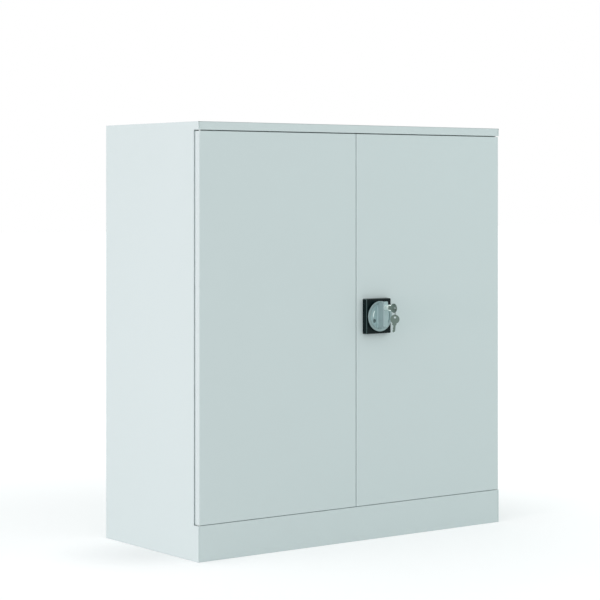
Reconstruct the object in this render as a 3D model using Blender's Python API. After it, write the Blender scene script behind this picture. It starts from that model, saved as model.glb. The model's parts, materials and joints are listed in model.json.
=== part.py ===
"""Low two-door steel storage cupboard with a turn handle, lock rods and a pair of keys.

Metres, +Z up, doors towards -Y. Sizes are read from the middle of the carcass: x runs
across, y runs back from the front plane, z runs up from the floor. At the end the whole
cupboard is moved along Y so that its origin is under the middle of everything, keys too.
"""

import itertools
import math

import bmesh
import bpy
from mathutils import Matrix, Vector

# Carcass
CABINET_WIDTH = 0.920
CABINET_DEPTH = 0.400
CABINET_HEIGHT = 1.000
SHEET = 0.001
LIP_HEIGHT = 0.0192
PLINTH_HEIGHT = 0.082
FRONT_RETURN = 0.0035
DOOR_STOP_FLANGE = 0.022
STOP_RETURN = 0.012
REAR_FLANGE = 0.020
FOOT_FLANGE = 0.020
PLINTH_FOOT = 0.015
STOP_RISE = 0.020

# Fits
SEAT_GAP = 0.0003
OVERRUN = 0.005
SMOOTH_ANGLE = math.radians(30)
FLAT_ANGLE = math.radians(1)
ROUND_PROFILE_SHARE = 0.5

# Doors
DOOR_THICKNESS = 0.0174
DOOR_SEAM = 0.0020
SIDE_SEAM = 0.0011
SIDE_HEM = 0.0025
DOOR_INSET = 0.0022
DOOR_TOP_GAP = 0.0023
DOOR_BOTTOM_GAP = 0.0012
MEETING_GAP = 0.0018
MEETING_OFFSET = -0.003
DOOR_RETURN = 0.016
DOOR_EDGE_RADIUS = 0.0016
STIFFENER_WIDTH = 0.050
STIFFENER_FOOT = 0.012
STIFFENER_END = 0.025

# Hinge pins, bushes, washers and buffers
PIVOT_SIDE = 0.006
PIVOT_DEPTH = 0.00625
PIN_RADIUS = 0.0025
PIN_HEAD_RADIUS = 0.004
PIN_HEAD_HEIGHT = 0.002
PIN_REACH = 0.008
BUSH_RADIUS = 0.0038
BUSH_FLANGE_RADIUS = 0.0048
BUSH_FLANGE_HEIGHT = 0.0015
BUSH_LENGTH = 0.010
WASHER_RADIUS = 0.005
BUFFER_RADIUS = 0.005
BUFFER_FROM_MEETING = 0.030

# Slotted uprights, shelves and clips
UPRIGHT_WIDTH = 0.030
UPRIGHT_DEPTH = 0.010
UPRIGHT_BOTTOM = 0.100
UPRIGHT_TOP = 0.960
UPRIGHT_FROM_FRONT = 0.060
UPRIGHT_FROM_BACK = 0.060
SLOT_PITCH = 0.050
SLOT_WIDTH = 0.016
SLOT_HEIGHT = 0.004
SHELF_FROM_FRONT = 0.045
SHELF_FROM_BACK = 0.010
SHELF_SIDE_GAP = 0.003
SHELF_HEIGHT = 0.025
SHELF_RETURN = 0.014
LOWER_SHELF_SLOT = 5
UPPER_SHELF_SLOT = 11
CLIP_WIDTH = 0.013
CLIP_SHEET = 0.0015
CLIP_LEDGE = 0.013
CLIP_DROP = 0.0085
CLIP_RISE = 0.006
CLIP_HOOK_DEPTH = 0.0035
CLIP_HOOK_DROP = 0.004

# Lock housing
LOCK_X = 0.0552
LOCK_Z = 0.5394
HOUSING_WIDTH = 0.0775
HOUSING_HEIGHT = 0.0855
HOUSING_DEPTH = 0.014
HOUSING_CORNER = 0.0025
HOUSING_WALL = 0.0025
HOUSING_BOSS_RADIUS = 0.009
SCREW_RADIUS = 0.002
SCREW_HEAD_RADIUS = 0.0033
SCREW_HEAD_HEIGHT = 0.0025
SCREW_REACH = 0.009
SCREW_X = 0.0305
SCREW_Z = 0.014
SCREW_BOSS_RADIUS = 0.0045

# Turn handle
KNOB_RADIUS = 0.0365
KNOB_BACK_RADIUS = 0.031
KNOB_FRONT = 0.0205
KNOB_RIM = 0.007
KNOB_DISH_DEPTH = 0.0025
KNOB_EDGE = 0.001
GRIP_WIDTH = 0.0135
GRIP_FRONT = 0.042
GRIP_TOP = 0.0365
GRIP_BOTTOM = 0.0355
GRIP_SLOPE = 0.0105
GRIP_ROOT = 0.016
GRIP_ROOT_INSET = 0.006
GRIP_TOE = 0.021
GRIP_EDGE = 0.0015
SOCKET_DEPTH = 0.010
SPINDLE_SIDE = 0.008
SPINDLE_BORE_RADIUS = 0.006
THREAD_RADIUS = 0.003
NUT_ACROSS = 0.010
NUT_HEIGHT = 0.004

# Drive disc, latch cam, lock plate and rods
CRANK_RADIUS = 0.018
CRANK_PIN_RADIUS = 0.002
CRANK_START = math.radians(45)
DISC_EDGE = 0.0035
DISC_DEPTH = 0.0115
DISC_THICKNESS = 0.003
PIN_STAND = 0.006
PLATE_WEB_DEPTH = 0.0152
PLATE_SHEET = 0.0015
PLATE_HALF_WIDTH = 0.0255
PLATE_FOOT = 0.010
PLATE_HALF_HEIGHT = 0.022
CAM_HUB_RADIUS = 0.0075
CAM_HUB_DEPTH = 0.017
CAM_DEPTH = 0.0184
CAM_THICKNESS = 0.003
CAM_WIDTH = 0.016
CAM_LENGTH = 0.070
ROD_RADIUS = 0.0035
ROD_DEPTH = 0.0075
ROD_END_INSET = 0.008
ROD_TAB_THICKNESS = 0.003
ROD_TAB_WALL = 0.0025
SLOT_PLAY = 0.0005
SLOT_LIFT = 0.0009
GUIDE_WIDTH = 0.014
GUIDE_HEIGHT = 0.010
GUIDE_FROM_EDGE = 0.020

# Lock cylinder, plug and keys
CYLINDER_Z = 0.0218
BARREL_RADIUS = 0.0075
BARREL_FRONT = 0.056
CYLINDER_RADIUS = 0.0056
CYLINDER_BACK = 0.025
PLUG_RADIUS = 0.0045
PLUG_BACK = 0.028
KEY_THICKNESS = 0.002
KEY_BLADE_WIDTH = 0.007
KEY_NECK_WIDTH = 0.010
KEY_NECK_LENGTH = 0.003
KEY_BLADE_LENGTH = 0.018
KEY_BOW_RADIUS = 0.011
KEY_HOLE_RADIUS = 0.00275
KEY_HOLE_OFFSET = 0.0045
KEY_SHOULDER_GAP = 0.001
KEY_CUT_PITCH = 0.0028
KEY_CUT_COUNT = 5
KEY_CUT_DEPTH_SHARES = (0.20, 0.32, 0.14, 0.28, 0.20)
RING_RADIUS = 0.0095
RING_WIRE_RADIUS = 0.00065
RING_TURN = math.radians(36.9)
SPARE_LEAN = math.radians(6)

# Counts
FINE_SIDES = 40
ROUND_SIDES = 24
SMALL_SIDES = 16
WIRE_SIDES = 8
EDGE_STEPS = 3

# Which way each side lies along X
SIDES = ((-1, "left"), (1, "right"))

# Places that follow from the sizes above
HALF_WIDTH = CABINET_WIDTH / 2
INNER_HALF = HALF_WIDTH - SHEET - SEAT_GAP
FRONT_HALF = HALF_WIDTH - FRONT_RETURN - SEAT_GAP
STOP_HALF = HALF_WIDTH - DOOR_STOP_FLANGE - SEAT_GAP
STOP_DEPTH = DOOR_THICKNESS + DOOR_SEAM
HEM_DEPTH = DOOR_THICKNESS + SIDE_SEAM
LIP_UNDERSIDE = CABINET_HEIGHT - LIP_HEIGHT
DOOR_TOP = LIP_UNDERSIDE - DOOR_TOP_GAP
DOOR_BOTTOM = PLINTH_HEIGHT + DOOR_BOTTOM_GAP
PIVOT_X = HALF_WIDTH - DOOR_INSET - PIVOT_SIDE
LEFT_MEETING = MEETING_OFFSET - MEETING_GAP / 2
RIGHT_MEETING = MEETING_OFFSET + MEETING_GAP / 2
BACK_FACE = CABINET_DEPTH - SHEET
REAR_FLANGE_DEPTH = BACK_FACE - SEAT_GAP - SHEET
PANEL_FLOOR = PLINTH_HEIGHT + SEAT_GAP
ROD_SIDE = CRANK_RADIUS * (1 + math.cos(CRANK_START)) / 2
ROD_PIN_DROP = CRANK_RADIUS * math.sin(CRANK_START)
KEY_TIP_FROM_BOW = KEY_BOW_RADIUS + KEY_NECK_LENGTH + KEY_BLADE_LENGTH
KEY_BOW_FRONT = BARREL_FRONT + KEY_SHOULDER_GAP + KEY_NECK_LENGTH + KEY_BOW_RADIUS
KEY_HOLE_FRONT = KEY_BOW_FRONT + KEY_HOLE_OFFSET
WIRE_DROP = KEY_HOLE_RADIUS - RING_WIRE_RADIUS - SEAT_GAP
KEY_Z = LOCK_Z + CYLINDER_Z
SLANTED_WIRE_DROP = WIRE_DROP / 2
RING_Z = KEY_Z - SLANTED_WIRE_DROP - RING_RADIUS
SPARE_HOLE_Z = RING_Z - RING_RADIUS - WIRE_DROP


def clear_scene():
    """Remove every object that the scene starts with."""
    for item in list(bpy.data.objects):
        bpy.data.objects.remove(item, do_unlink=True)


def paint(name, colour, roughness, metallic):
    """Make a Principled material."""
    material = bpy.data.materials.new(name)
    material.use_nodes = True
    shader = material.node_tree.nodes["Principled BSDF"]
    shader.inputs["Base Color"].default_value = (*colour, 1)
    shader.inputs["Roughness"].default_value = roughness
    shader.inputs["Metallic"].default_value = metallic
    return material


def make_materials():
    """All finishes of the cupboard by name."""
    return {
        "powder_coat": paint("powder_coat", (0.60, 0.68, 0.67), 0.55, 0),
        "black_housing": paint("black_housing", (0.015, 0.015, 0.017), 0.4, 0),
        "satin_handle": paint("satin_handle", (0.72, 0.73, 0.74), 0.35, 0.9),
        "zinc": paint("zinc", (0.62, 0.63, 0.64), 0.4, 1),
        "nylon": paint("nylon", (0.82, 0.82, 0.78), 0.5, 0),
        "rubber": paint("rubber", (0.05, 0.05, 0.05), 0.8, 0),
        "key_metal": paint("key_metal", (0.52, 0.52, 0.44), 0.35, 1),
    }


def prism(outline, axis, start, end):
    """An outline carried along X, Y or Z. Its points are in the other two axes, in their order."""
    along = "XYZ".index(axis)
    bm = bmesh.new()
    corners = []
    for first, second in outline:
        place = [first, second]
        place.insert(along, start)
        corners.append(bm.verts.new(place))
    face = bm.faces.new(corners)
    grown = bmesh.ops.extrude_face_region(bm, geom=[face])
    for item in grown["geom"]:
        if isinstance(item, bmesh.types.BMVert):
            item.co[along] = end
    bmesh.ops.recalc_face_normals(bm, faces=bm.faces)
    return bm


def box(corner_a, corner_b):
    """A box between two opposite corners."""
    left, front, bottom = (min(pair) for pair in zip(corner_a, corner_b))
    right, back, top = (max(pair) for pair in zip(corner_a, corner_b))
    outline = [(left, front), (right, front), (right, back), (left, back)]
    return prism(outline, "Z", bottom, top)


def joined_boxes(*corner_pairs):
    """Boxes that touch or overlap, as one solid. Their corner planes cut space into cells, and each
    wall between a filled cell and an empty one becomes a face."""
    planes = []
    for axis in range(3):
        kept = []
        for value in sorted(corner[axis] for pair in corner_pairs for corner in pair):
            if not kept or value - kept[-1] > SEAT_GAP / 100:
                kept.append(value)
        planes.append(kept)
    filled = set()
    for corner_a, corner_b in corner_pairs:
        spans = []
        for kept, a, b in zip(planes, corner_a, corner_b):
            ends = sorted(min(range(len(kept)), key=lambda index: abs(kept[index] - value)) for value in (a, b))
            spans.append(range(*ends))
        filled.update(itertools.product(*spans))
    bm = bmesh.new()
    corners = {}

    def corner_at(place):
        if place not in corners:
            corners[place] = bm.verts.new([kept[index] for kept, index in zip(planes, place)])
        return corners[place]

    for cell in sorted(filled):
        for axis, way in itertools.product(range(3), (-1, 1)):
            beyond = list(cell)
            beyond[axis] += way
            if tuple(beyond) in filled:
                continue
            second, third = (axis + 1) % 3, (axis + 2) % 3
            wall = []
            for rise_second, rise_third in ((0, 0), (1, 0), (1, 1), (0, 1)):
                place = list(cell)
                place[axis] += (way + 1) // 2
                place[second] += rise_second
                place[third] += rise_third
                wall.append(corner_at(tuple(place)))
            bm.faces.new(wall if way > 0 else wall[::-1])
    bmesh.ops.dissolve_limit(bm, angle_limit=FLAT_ANGLE, verts=bm.verts, edges=bm.edges)
    return bm


def turned(profile, axis, centre, sides, ring=False):
    """A profile of (radius, place along the axis) points spun about Y or Z through a centre."""
    bm = bmesh.new()
    corners = []
    for radius, along in profile:
        place = (radius, along, 0) if axis == "Y" else (radius, 0, along)
        corners.append(bm.verts.new(place))
    edges = [bm.edges.new(pair) for pair in zip(corners, corners[1:])]
    if ring:
        edges.append(bm.edges.new((corners[-1], corners[0])))
    direction = (0, 1, 0) if axis == "Y" else (0, 0, 1)
    bmesh.ops.spin(bm, geom=corners + edges, cent=(0, 0, 0), axis=direction, angle=math.tau,
                   steps=sides, use_merge=True)
    bmesh.ops.remove_doubles(bm, verts=bm.verts, dist=SEAT_GAP / 100)
    bmesh.ops.recalc_face_normals(bm, faces=bm.faces)
    bmesh.ops.translate(bm, verts=bm.verts, vec=centre)
    return bm


def cylinder(radius, axis, centre, start, end, sides):
    """A plain round bar along Y or Z between two places on that axis."""
    return turned([(0, start), (radius, start), (radius, end), (0, end)], axis, centre, sides)


def round_edges(bm, chosen, radius, steps):
    """Round the edges for which chosen(edge) holds."""
    edges = [edge for edge in bm.edges if chosen(edge)]
    bmesh.ops.bevel(bm, geom=edges, offset=radius, segments=steps, profile=ROUND_PROFILE_SHARE,
                    affect="EDGES")
    return bm


def combine(bm, other, operation):
    """The first solid joined to, or cut by, the second. Both inputs are used up."""
    bodies = []
    for source in (bm, other):
        mesh = bpy.data.meshes.new("solid")
        source.to_mesh(mesh)
        source.free()
        body = bpy.data.objects.new("solid", mesh)
        bpy.context.collection.objects.link(body)
        bodies.append(body)
    modifier = bodies[0].modifiers.new("combine", "BOOLEAN")
    modifier.operation = operation
    modifier.solver = "EXACT"
    modifier.object = bodies[1]
    depsgraph = bpy.context.evaluated_depsgraph_get()
    result = bmesh.new()
    result.from_object(bodies[0], depsgraph)
    bmesh.ops.remove_doubles(result, verts=result.verts, dist=SEAT_GAP / 100)
    for body in bodies:
        mesh = body.data
        bpy.data.objects.remove(body)
        bpy.data.meshes.remove(mesh)
    return result


def joined(first, *others):
    """Several overlapping solids as one."""
    for other in others:
        first = combine(first, other, "UNION")
    return first


def cut(first, *cutters):
    """A solid with each cutter taken away in turn."""
    for cutter in cutters:
        first = combine(first, cutter, "DIFFERENCE")
    return first


def together(*solids):
    """Separate solids gathered in one mesh, as one set of cutters."""
    group = bmesh.new()
    for solid in solids:
        mesh = bpy.data.meshes.new("solid")
        solid.to_mesh(mesh)
        solid.free()
        group.from_mesh(mesh)
        bpy.data.meshes.remove(mesh)
    return group


def turn(bm, angle, axis, centre):
    """Turn a solid about an axis through a centre."""
    bmesh.ops.rotate(bm, verts=bm.verts, cent=centre, matrix=Matrix.Rotation(angle, 3, axis))
    return bm


def hat_outline(centre, half_width, foot, near, far, wall):
    """A hat channel's outline in x and y: two feet at near, a web at far, open towards near."""
    outer = half_width
    inner = half_width - wall
    points = [
        (-outer - foot, near), (-inner, near), (-inner, far - wall), (inner, far - wall),
        (inner, near), (outer + foot, near), (outer + foot, near + wall), (outer, near + wall),
        (outer, far), (-outer, far), (-outer, near + wall), (-outer - foot, near + wall),
    ]
    return [(centre + x, y) for x, y in points]


def place_of(pivot):
    """Where an empty is, measured from the carcass before the last move."""
    place = Vector()
    while pivot:
        place += pivot.location
        pivot = pivot.parent
    return place


def add_pivot(name, place, parent=None):
    """An empty on a joint's axis, under the empty of the body that carries it."""
    pivot = bpy.data.objects.new(name, None)
    pivot.empty_display_size = PLINTH_HEIGHT
    bpy.context.collection.objects.link(pivot)
    pivot.parent = parent
    pivot.location = Vector(place) - place_of(parent)
    return pivot


def add_piece(name, bm, material, pivot, smooth=False):
    """Turn a solid into a named object under its body's empty."""
    bmesh.ops.translate(bm, verts=bm.verts, vec=-place_of(pivot))
    mesh = bpy.data.meshes.new(name)
    bm.to_mesh(mesh)
    bm.free()
    if smooth:
        mesh.shade_smooth()
        mesh.set_sharp_from_angle(angle=SMOOTH_ANGLE)
    mesh.materials.append(material)
    piece = bpy.data.objects.new(name, mesh)
    bpy.context.collection.objects.link(piece)
    piece.parent = pivot
    return piece


def side_panel(side):
    """A side sheet with a notch for the door edge, and its flanges. side is -1 left, 1 right.

    Behind the door the sheet's front edge is joggled: a narrow hem close to the door, then the
    flange a little deeper, so that the door's corner clears it as the door swings.
    """
    outer = side * HALF_WIDTH

    def inwards(distance):
        return outer - side * distance

    low = PLINTH_HEIGHT + SEAT_GAP
    high = LIP_UNDERSIDE - SEAT_GAP
    top = CABINET_HEIGHT - SHEET - SEAT_GAP
    stop_end = STOP_DEPTH + SHEET
    rear_end = REAR_FLANGE_DEPTH + SHEET
    foot_start = PLINTH_FOOT + SEAT_GAP
    return joined_boxes(
        ((outer, 0, 0), (inwards(SHEET), CABINET_DEPTH, PLINTH_HEIGHT)),
        ((outer, HEM_DEPTH, PLINTH_HEIGHT), (inwards(SHEET), CABINET_DEPTH, LIP_UNDERSIDE)),
        ((outer, HEM_DEPTH, low), (inwards(SIDE_HEM), HEM_DEPTH + SHEET, high)),
        ((outer, 0, LIP_UNDERSIDE), (inwards(SHEET), CABINET_DEPTH, CABINET_HEIGHT)),
        ((outer, STOP_DEPTH, low), (inwards(DOOR_STOP_FLANGE), stop_end, high)),
        ((inwards(DOOR_STOP_FLANGE - SHEET), STOP_DEPTH, low),
         (inwards(DOOR_STOP_FLANGE), STOP_DEPTH + STOP_RETURN, high)),
        ((outer, REAR_FLANGE_DEPTH, 0), (inwards(REAR_FLANGE), rear_end, top)),
        ((outer, foot_start, 0), (inwards(FOOT_FLANGE), rear_end, SHEET)),
        ((outer, 0, 0), (inwards(FRONT_RETURN), SHEET, PLINTH_HEIGHT)),
        ((outer, 0, LIP_UNDERSIDE), (inwards(FRONT_RETURN), SHEET, top)),
    )


def pin_holes(low, high):
    """Two cutters for the hinge pins, one on each side."""
    radius = PIN_RADIUS + SEAT_GAP
    return [
        cylinder(radius, "Z", (side * PIVOT_X, PIVOT_DEPTH, 0), low - OVERRUN, high + OVERRUN, SMALL_SIDES)
        for side in (-1, 1)
    ]


def top_panel():
    """The top sheet, folded down into the lip, back under it and down again as the door stop."""
    stop_low = LIP_UNDERSIDE - STOP_RISE
    return cut(
        joined_boxes(
            ((-INNER_HALF, 0, CABINET_HEIGHT - SHEET), (INNER_HALF, CABINET_DEPTH, CABINET_HEIGHT)),
            ((-FRONT_HALF, 0, LIP_UNDERSIDE), (FRONT_HALF, SHEET, CABINET_HEIGHT)),
            ((-FRONT_HALF, 0, LIP_UNDERSIDE), (FRONT_HALF, STOP_DEPTH + SHEET, LIP_UNDERSIDE + SHEET)),
            ((-STOP_HALF, STOP_DEPTH, stop_low), (STOP_HALF, STOP_DEPTH + SHEET, LIP_UNDERSIDE + SHEET)),
        ),
        *pin_holes(LIP_UNDERSIDE, LIP_UNDERSIDE + SHEET),
        rod_hole(1, LIP_UNDERSIDE - STOP_RISE / 2, LIP_UNDERSIDE + STOP_RISE / 2),
    )


def rod_hole(side, low, high):
    """A cutter for a lock rod. side is 1 for the upper rod, -1 for the lower one."""
    centre = (LOCK_X + side * ROD_SIDE, ROD_DEPTH, 0)
    return cylinder(ROD_RADIUS + 2 * SEAT_GAP, "Z", centre, low, high, SMALL_SIDES)


def plinth():
    """The front plinth, folded back at the floor and under the doors, and up as the door stop."""
    top = PLINTH_HEIGHT
    return cut(
        joined_boxes(
            ((-FRONT_HALF, 0, 0), (FRONT_HALF, SHEET, top)),
            ((-FRONT_HALF, 0, 0), (FRONT_HALF, PLINTH_FOOT, SHEET)),
            ((-FRONT_HALF, 0, top - SHEET), (FRONT_HALF, STOP_DEPTH + SHEET, top)),
            ((-STOP_HALF, STOP_DEPTH, top - SHEET), (STOP_HALF, STOP_DEPTH + SHEET, top + STOP_RISE)),
        ),
        *pin_holes(top - SHEET, top),
        rod_hole(-1, top - STOP_RISE / 2, top + STOP_RISE / 2),
    )


def bottom_panel():
    """The floor of the cupboard, turned up at the front and at the back, notched round the sides' returns."""
    front = STOP_DEPTH + SHEET + SEAT_GAP
    back = REAR_FLANGE_DEPTH - SEAT_GAP
    top = PANEL_FLOOR + SHEET
    turn_up = PANEL_FLOOR + STOP_RISE - SHEET
    notch_x = STOP_HALF - SEAT_GAP
    notch_depth = STOP_DEPTH + STOP_RETURN + SEAT_GAP
    flange_x = notch_x - SHEET
    rear_x = HALF_WIDTH - REAR_FLANGE
    return joined_boxes(
        ((-notch_x, front, PANEL_FLOOR), (notch_x, back, top)),
        ((-INNER_HALF, notch_depth, PANEL_FLOOR), (INNER_HALF, back, top)),
        ((-flange_x, front, PANEL_FLOOR), (flange_x, front + SHEET, turn_up)),
        ((-rear_x, back - SHEET, PANEL_FLOOR), (rear_x, back, turn_up)),
    )


def slot_levels():
    """Heights of the slots in an upright, from the bottom."""
    count = int((UPRIGHT_TOP - UPRIGHT_BOTTOM) / SLOT_PITCH)
    return [UPRIGHT_BOTTOM + SLOT_PITCH * (step + 1 / 2) for step in range(count)]


def upright_depths():
    """Where the front and the rear uprights start, from the front plane."""
    return (UPRIGHT_FROM_FRONT, CABINET_DEPTH - UPRIGHT_FROM_BACK - UPRIGHT_WIDTH)


def shelf_upright(side, start):
    """A slotted channel that stands against a side sheet."""
    back = side * INNER_HALF
    face = side * (INNER_HALF - UPRIGHT_DEPTH)
    wall = side * (INNER_HALF - UPRIGHT_DEPTH + SHEET)
    end = start + UPRIGHT_WIDTH
    channel = box((back, start, UPRIGHT_BOTTOM), (face, end, UPRIGHT_TOP))
    hollow = box((back + side * OVERRUN, start + SHEET, UPRIGHT_BOTTOM - OVERRUN),
                 (wall, end - SHEET, UPRIGHT_TOP + OVERRUN))
    middle = (start + end) / 2
    slots = together(*[
        box((wall + side * SHEET, middle - SLOT_WIDTH / 2, level - SLOT_HEIGHT / 2),
            (face - side * OVERRUN, middle + SLOT_WIDTH / 2, level + SLOT_HEIGHT / 2))
        for level in slot_levels()
    ])
    return cut(channel, hollow, slots)


def shelf_underside(slot):
    """Height of a shelf's underside, from the slot that its clips hang in."""
    return slot_levels()[slot] - CLIP_DROP + CLIP_SHEET + SEAT_GAP


def shelf(slot):
    """A folded shelf: a top sheet with rims turned down and in."""
    low = shelf_underside(slot)
    high = low + SHELF_HEIGHT
    half = INNER_HALF - UPRIGHT_DEPTH - SHELF_SIDE_GAP
    front = SHELF_FROM_FRONT
    back = CABINET_DEPTH - SHELF_FROM_BACK
    body = box((-half, front, low), (half, back, high))
    hollow = box((-half + SHEET, front + SHEET, low + SHEET), (half - SHEET, back - SHEET, high - SHEET))
    mouth = box((-half + SHELF_RETURN, front + SHELF_RETURN, low - OVERRUN),
                (half - SHELF_RETURN, back - SHELF_RETURN, low + SHELF_HEIGHT / 2))
    return cut(body, hollow, mouth)


def shelf_clip(slot, side, start):
    """A clip that hooks into a slot of an upright and carries a shelf's corner on its ledge."""
    level = slot_levels()[slot]
    half = CLIP_SHEET / 2
    near = SEAT_GAP
    far = SEAT_GAP + CLIP_SHEET
    bottom = -CLIP_DROP
    ledge_top = bottom + CLIP_SHEET
    back = -CLIP_HOOK_DEPTH
    behind_wall = -SHEET - 2 * SEAT_GAP
    outline = [
        (back, half), (near, half), (near, CLIP_RISE), (far, CLIP_RISE), (far, ledge_top),
        (CLIP_LEDGE, ledge_top), (CLIP_LEDGE, bottom), (near, bottom), (near, -half),
        (behind_wall, -half), (behind_wall, -CLIP_HOOK_DROP), (back, -CLIP_HOOK_DROP),
    ]
    face = INNER_HALF - UPRIGHT_DEPTH
    placed = [(side * (face - inward), level + rise) for inward, rise in outline]
    middle = start + UPRIGHT_WIDTH / 2
    return prism(placed, "Y", middle - CLIP_WIDTH / 2, middle + CLIP_WIDTH / 2)


def hinge_pin(side, way):
    """A headed pin. way is 1 for one that hangs in the lip, -1 for one that stands in the plinth."""
    if way > 0:
        seat = LIP_UNDERSIDE + SHEET
        tip = DOOR_TOP - PIN_REACH
    else:
        seat = PLINTH_HEIGHT - SHEET
        tip = DOOR_BOTTOM + PIN_REACH
    head = seat + way * SEAT_GAP
    end = head + way * PIN_HEAD_HEIGHT
    profile = [(0, tip), (PIN_RADIUS, tip), (PIN_RADIUS, head), (PIN_HEAD_RADIUS, head),
               (PIN_HEAD_RADIUS, end), (0, end)]
    return turned(profile, "Z", (side * PIVOT_X, PIVOT_DEPTH, 0), SMALL_SIDES)


def hinge_washer(side):
    """A washer that a door turns on, round its lower pin."""
    low = PLINTH_HEIGHT + SEAT_GAP
    high = DOOR_BOTTOM - SEAT_GAP
    bore = PIN_RADIUS + SEAT_GAP
    profile = [(bore, low), (WASHER_RADIUS, low), (WASHER_RADIUS, high), (bore, high)]
    return turned(profile, "Z", (side * PIVOT_X, PIVOT_DEPTH, 0), SMALL_SIDES, ring=True)


def door_bush(side, face, way):
    """A flanged bush in a door's top or bottom return. way points from the door's end to its middle."""
    bore = PIN_RADIUS + SEAT_GAP
    under = face + way * (SHEET + SEAT_GAP)
    flange = under + way * BUSH_FLANGE_HEIGHT
    end = face + way * BUSH_LENGTH
    profile = [(bore, face), (BUSH_RADIUS, face), (BUSH_RADIUS, under), (BUSH_FLANGE_RADIUS, under),
               (BUSH_FLANGE_RADIUS, flange), (BUSH_RADIUS, flange), (BUSH_RADIUS, end), (bore, end)]
    return turned(profile, "Z", (side * PIVOT_X, PIVOT_DEPTH, 0), SMALL_SIDES, ring=True)


def door_buffer(side, level):
    """A rubber buffer on a stop flange, that a door closes on."""
    centre = (MEETING_OFFSET + side * BUFFER_FROM_MEETING, 0, level)
    return cylinder(BUFFER_RADIUS, "Y", centre, DOOR_THICKNESS + SEAT_GAP, STOP_DEPTH - SEAT_GAP, SMALL_SIDES)


def door_panel(side, meeting):
    """A door tray: a front sheet with rounded edges, four returns and flanges turned in."""
    outer = side * (HALF_WIDTH - DOOR_INSET)
    left = min(outer, meeting)
    right = max(outer, meeting)
    body = box((left, 0, DOOR_BOTTOM), (right, DOOR_THICKNESS, DOOR_TOP))
    near_front = SHEET / 2
    round_edges(body, lambda edge: all(vert.co.y < near_front for vert in edge.verts),
                DOOR_EDGE_RADIUS, EDGE_STEPS)
    hollow = box((left + SHEET, SHEET, DOOR_BOTTOM + SHEET),
                 (right - SHEET, DOOR_THICKNESS - SHEET, DOOR_TOP - SHEET))
    mouth = box((left + DOOR_RETURN, DOOR_THICKNESS / 2, DOOR_BOTTOM + DOOR_RETURN),
                (right - DOOR_RETURN, DOOR_THICKNESS + OVERRUN, DOOR_TOP - DOOR_RETURN))
    bush_holes = cylinder(BUSH_RADIUS + SEAT_GAP, "Z", (side * PIVOT_X, PIVOT_DEPTH, 0),
                          DOOR_BOTTOM - OVERRUN, DOOR_TOP + OVERRUN, SMALL_SIDES)
    return cut(body, hollow, mouth, bush_holes)


def door_stiffener(middle):
    """A tall hat channel on the back of a door's front sheet."""
    near = SHEET + SEAT_GAP
    far = DOOR_THICKNESS - SHEET - SEAT_GAP
    outline = hat_outline(middle, STIFFENER_WIDTH / 2, STIFFENER_FOOT, near, far, SHEET)
    return prism(outline, "Z", DOOR_BOTTOM + STIFFENER_END, DOOR_TOP - STIFFENER_END)


def screw_places():
    """Centres of the four housing screws in x and z, from the lower left one."""
    return [(LOCK_X + side * SCREW_X, LOCK_Z + rise * SCREW_Z) for rise in (-1, 1) for side in (-1, 1)]


def screw_holes(start, end):
    """Cutters for the shanks of the housing screws."""
    radius = SCREW_RADIUS + SEAT_GAP
    return together(*[cylinder(radius, "Y", (x, 0, z), start, end, SMALL_SIDES) for x, z in screw_places()])


def locking_door_panel():
    """The right door, with holes for the lock spindle, the housing screws and the two rods."""
    spindle_hole = cylinder(HOUSING_BOSS_RADIUS, "Y", (LOCK_X, 0, LOCK_Z), -OVERRUN, OVERRUN, ROUND_SIDES)
    return cut(
        door_panel(1, RIGHT_MEETING),
        spindle_hole,
        screw_holes(-OVERRUN, OVERRUN),
        rod_hole(1, DOOR_TOP - OVERRUN, DOOR_TOP + OVERRUN),
        rod_hole(-1, DOOR_BOTTOM - OVERRUN, DOOR_BOTTOM + OVERRUN),
    )


def lock_housing():
    """A moulded cover, hollow behind, with bosses for the spindle and the four screws."""
    half = HOUSING_WIDTH / 2
    tall = HOUSING_HEIGHT / 2
    front = -HOUSING_DEPTH
    body = box((LOCK_X - half, front, LOCK_Z - tall), (LOCK_X + half, -SEAT_GAP, LOCK_Z + tall))
    round_edges(body, lambda edge: any(vert.co.y < front / 2 for vert in edge.verts), HOUSING_CORNER,
                EDGE_STEPS)
    inner = front + HOUSING_WALL
    hollow = box((LOCK_X - half + HOUSING_WALL, inner, LOCK_Z - tall + HOUSING_WALL),
                 (LOCK_X + half - HOUSING_WALL, OVERRUN, LOCK_Z + tall - HOUSING_WALL))
    bosses = [cylinder(HOUSING_BOSS_RADIUS, "Y", (LOCK_X, 0, LOCK_Z), front + HOUSING_WALL / 2, -SEAT_GAP,
                       ROUND_SIDES)]
    for x, z in screw_places():
        bosses.append(cylinder(SCREW_BOSS_RADIUS, "Y", (x, 0, z), front + HOUSING_WALL / 2, -SEAT_GAP,
                               SMALL_SIDES))
    bore = cylinder(SPINDLE_BORE_RADIUS, "Y", (LOCK_X, 0, LOCK_Z), front - OVERRUN, OVERRUN, ROUND_SIDES)
    shell = joined(cut(body, hollow), *bosses)
    return cut(shell, bore, screw_holes(-SCREW_REACH - SHEET, OVERRUN))


def housing_screw(x, z):
    """A screw from inside the door through the lock plate into the housing."""
    head = SHEET + 2 * SEAT_GAP + PLATE_SHEET
    profile = [(0, -SCREW_REACH), (SCREW_RADIUS, -SCREW_REACH), (SCREW_RADIUS, head),
               (SCREW_HEAD_RADIUS, head), (SCREW_HEAD_RADIUS, head + SCREW_HEAD_HEIGHT / 2),
               (SCREW_HEAD_RADIUS / 2, head + SCREW_HEAD_HEIGHT), (0, head + SCREW_HEAD_HEIGHT)]
    return turned(profile, "Y", (x, 0, z), SMALL_SIDES)


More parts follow.
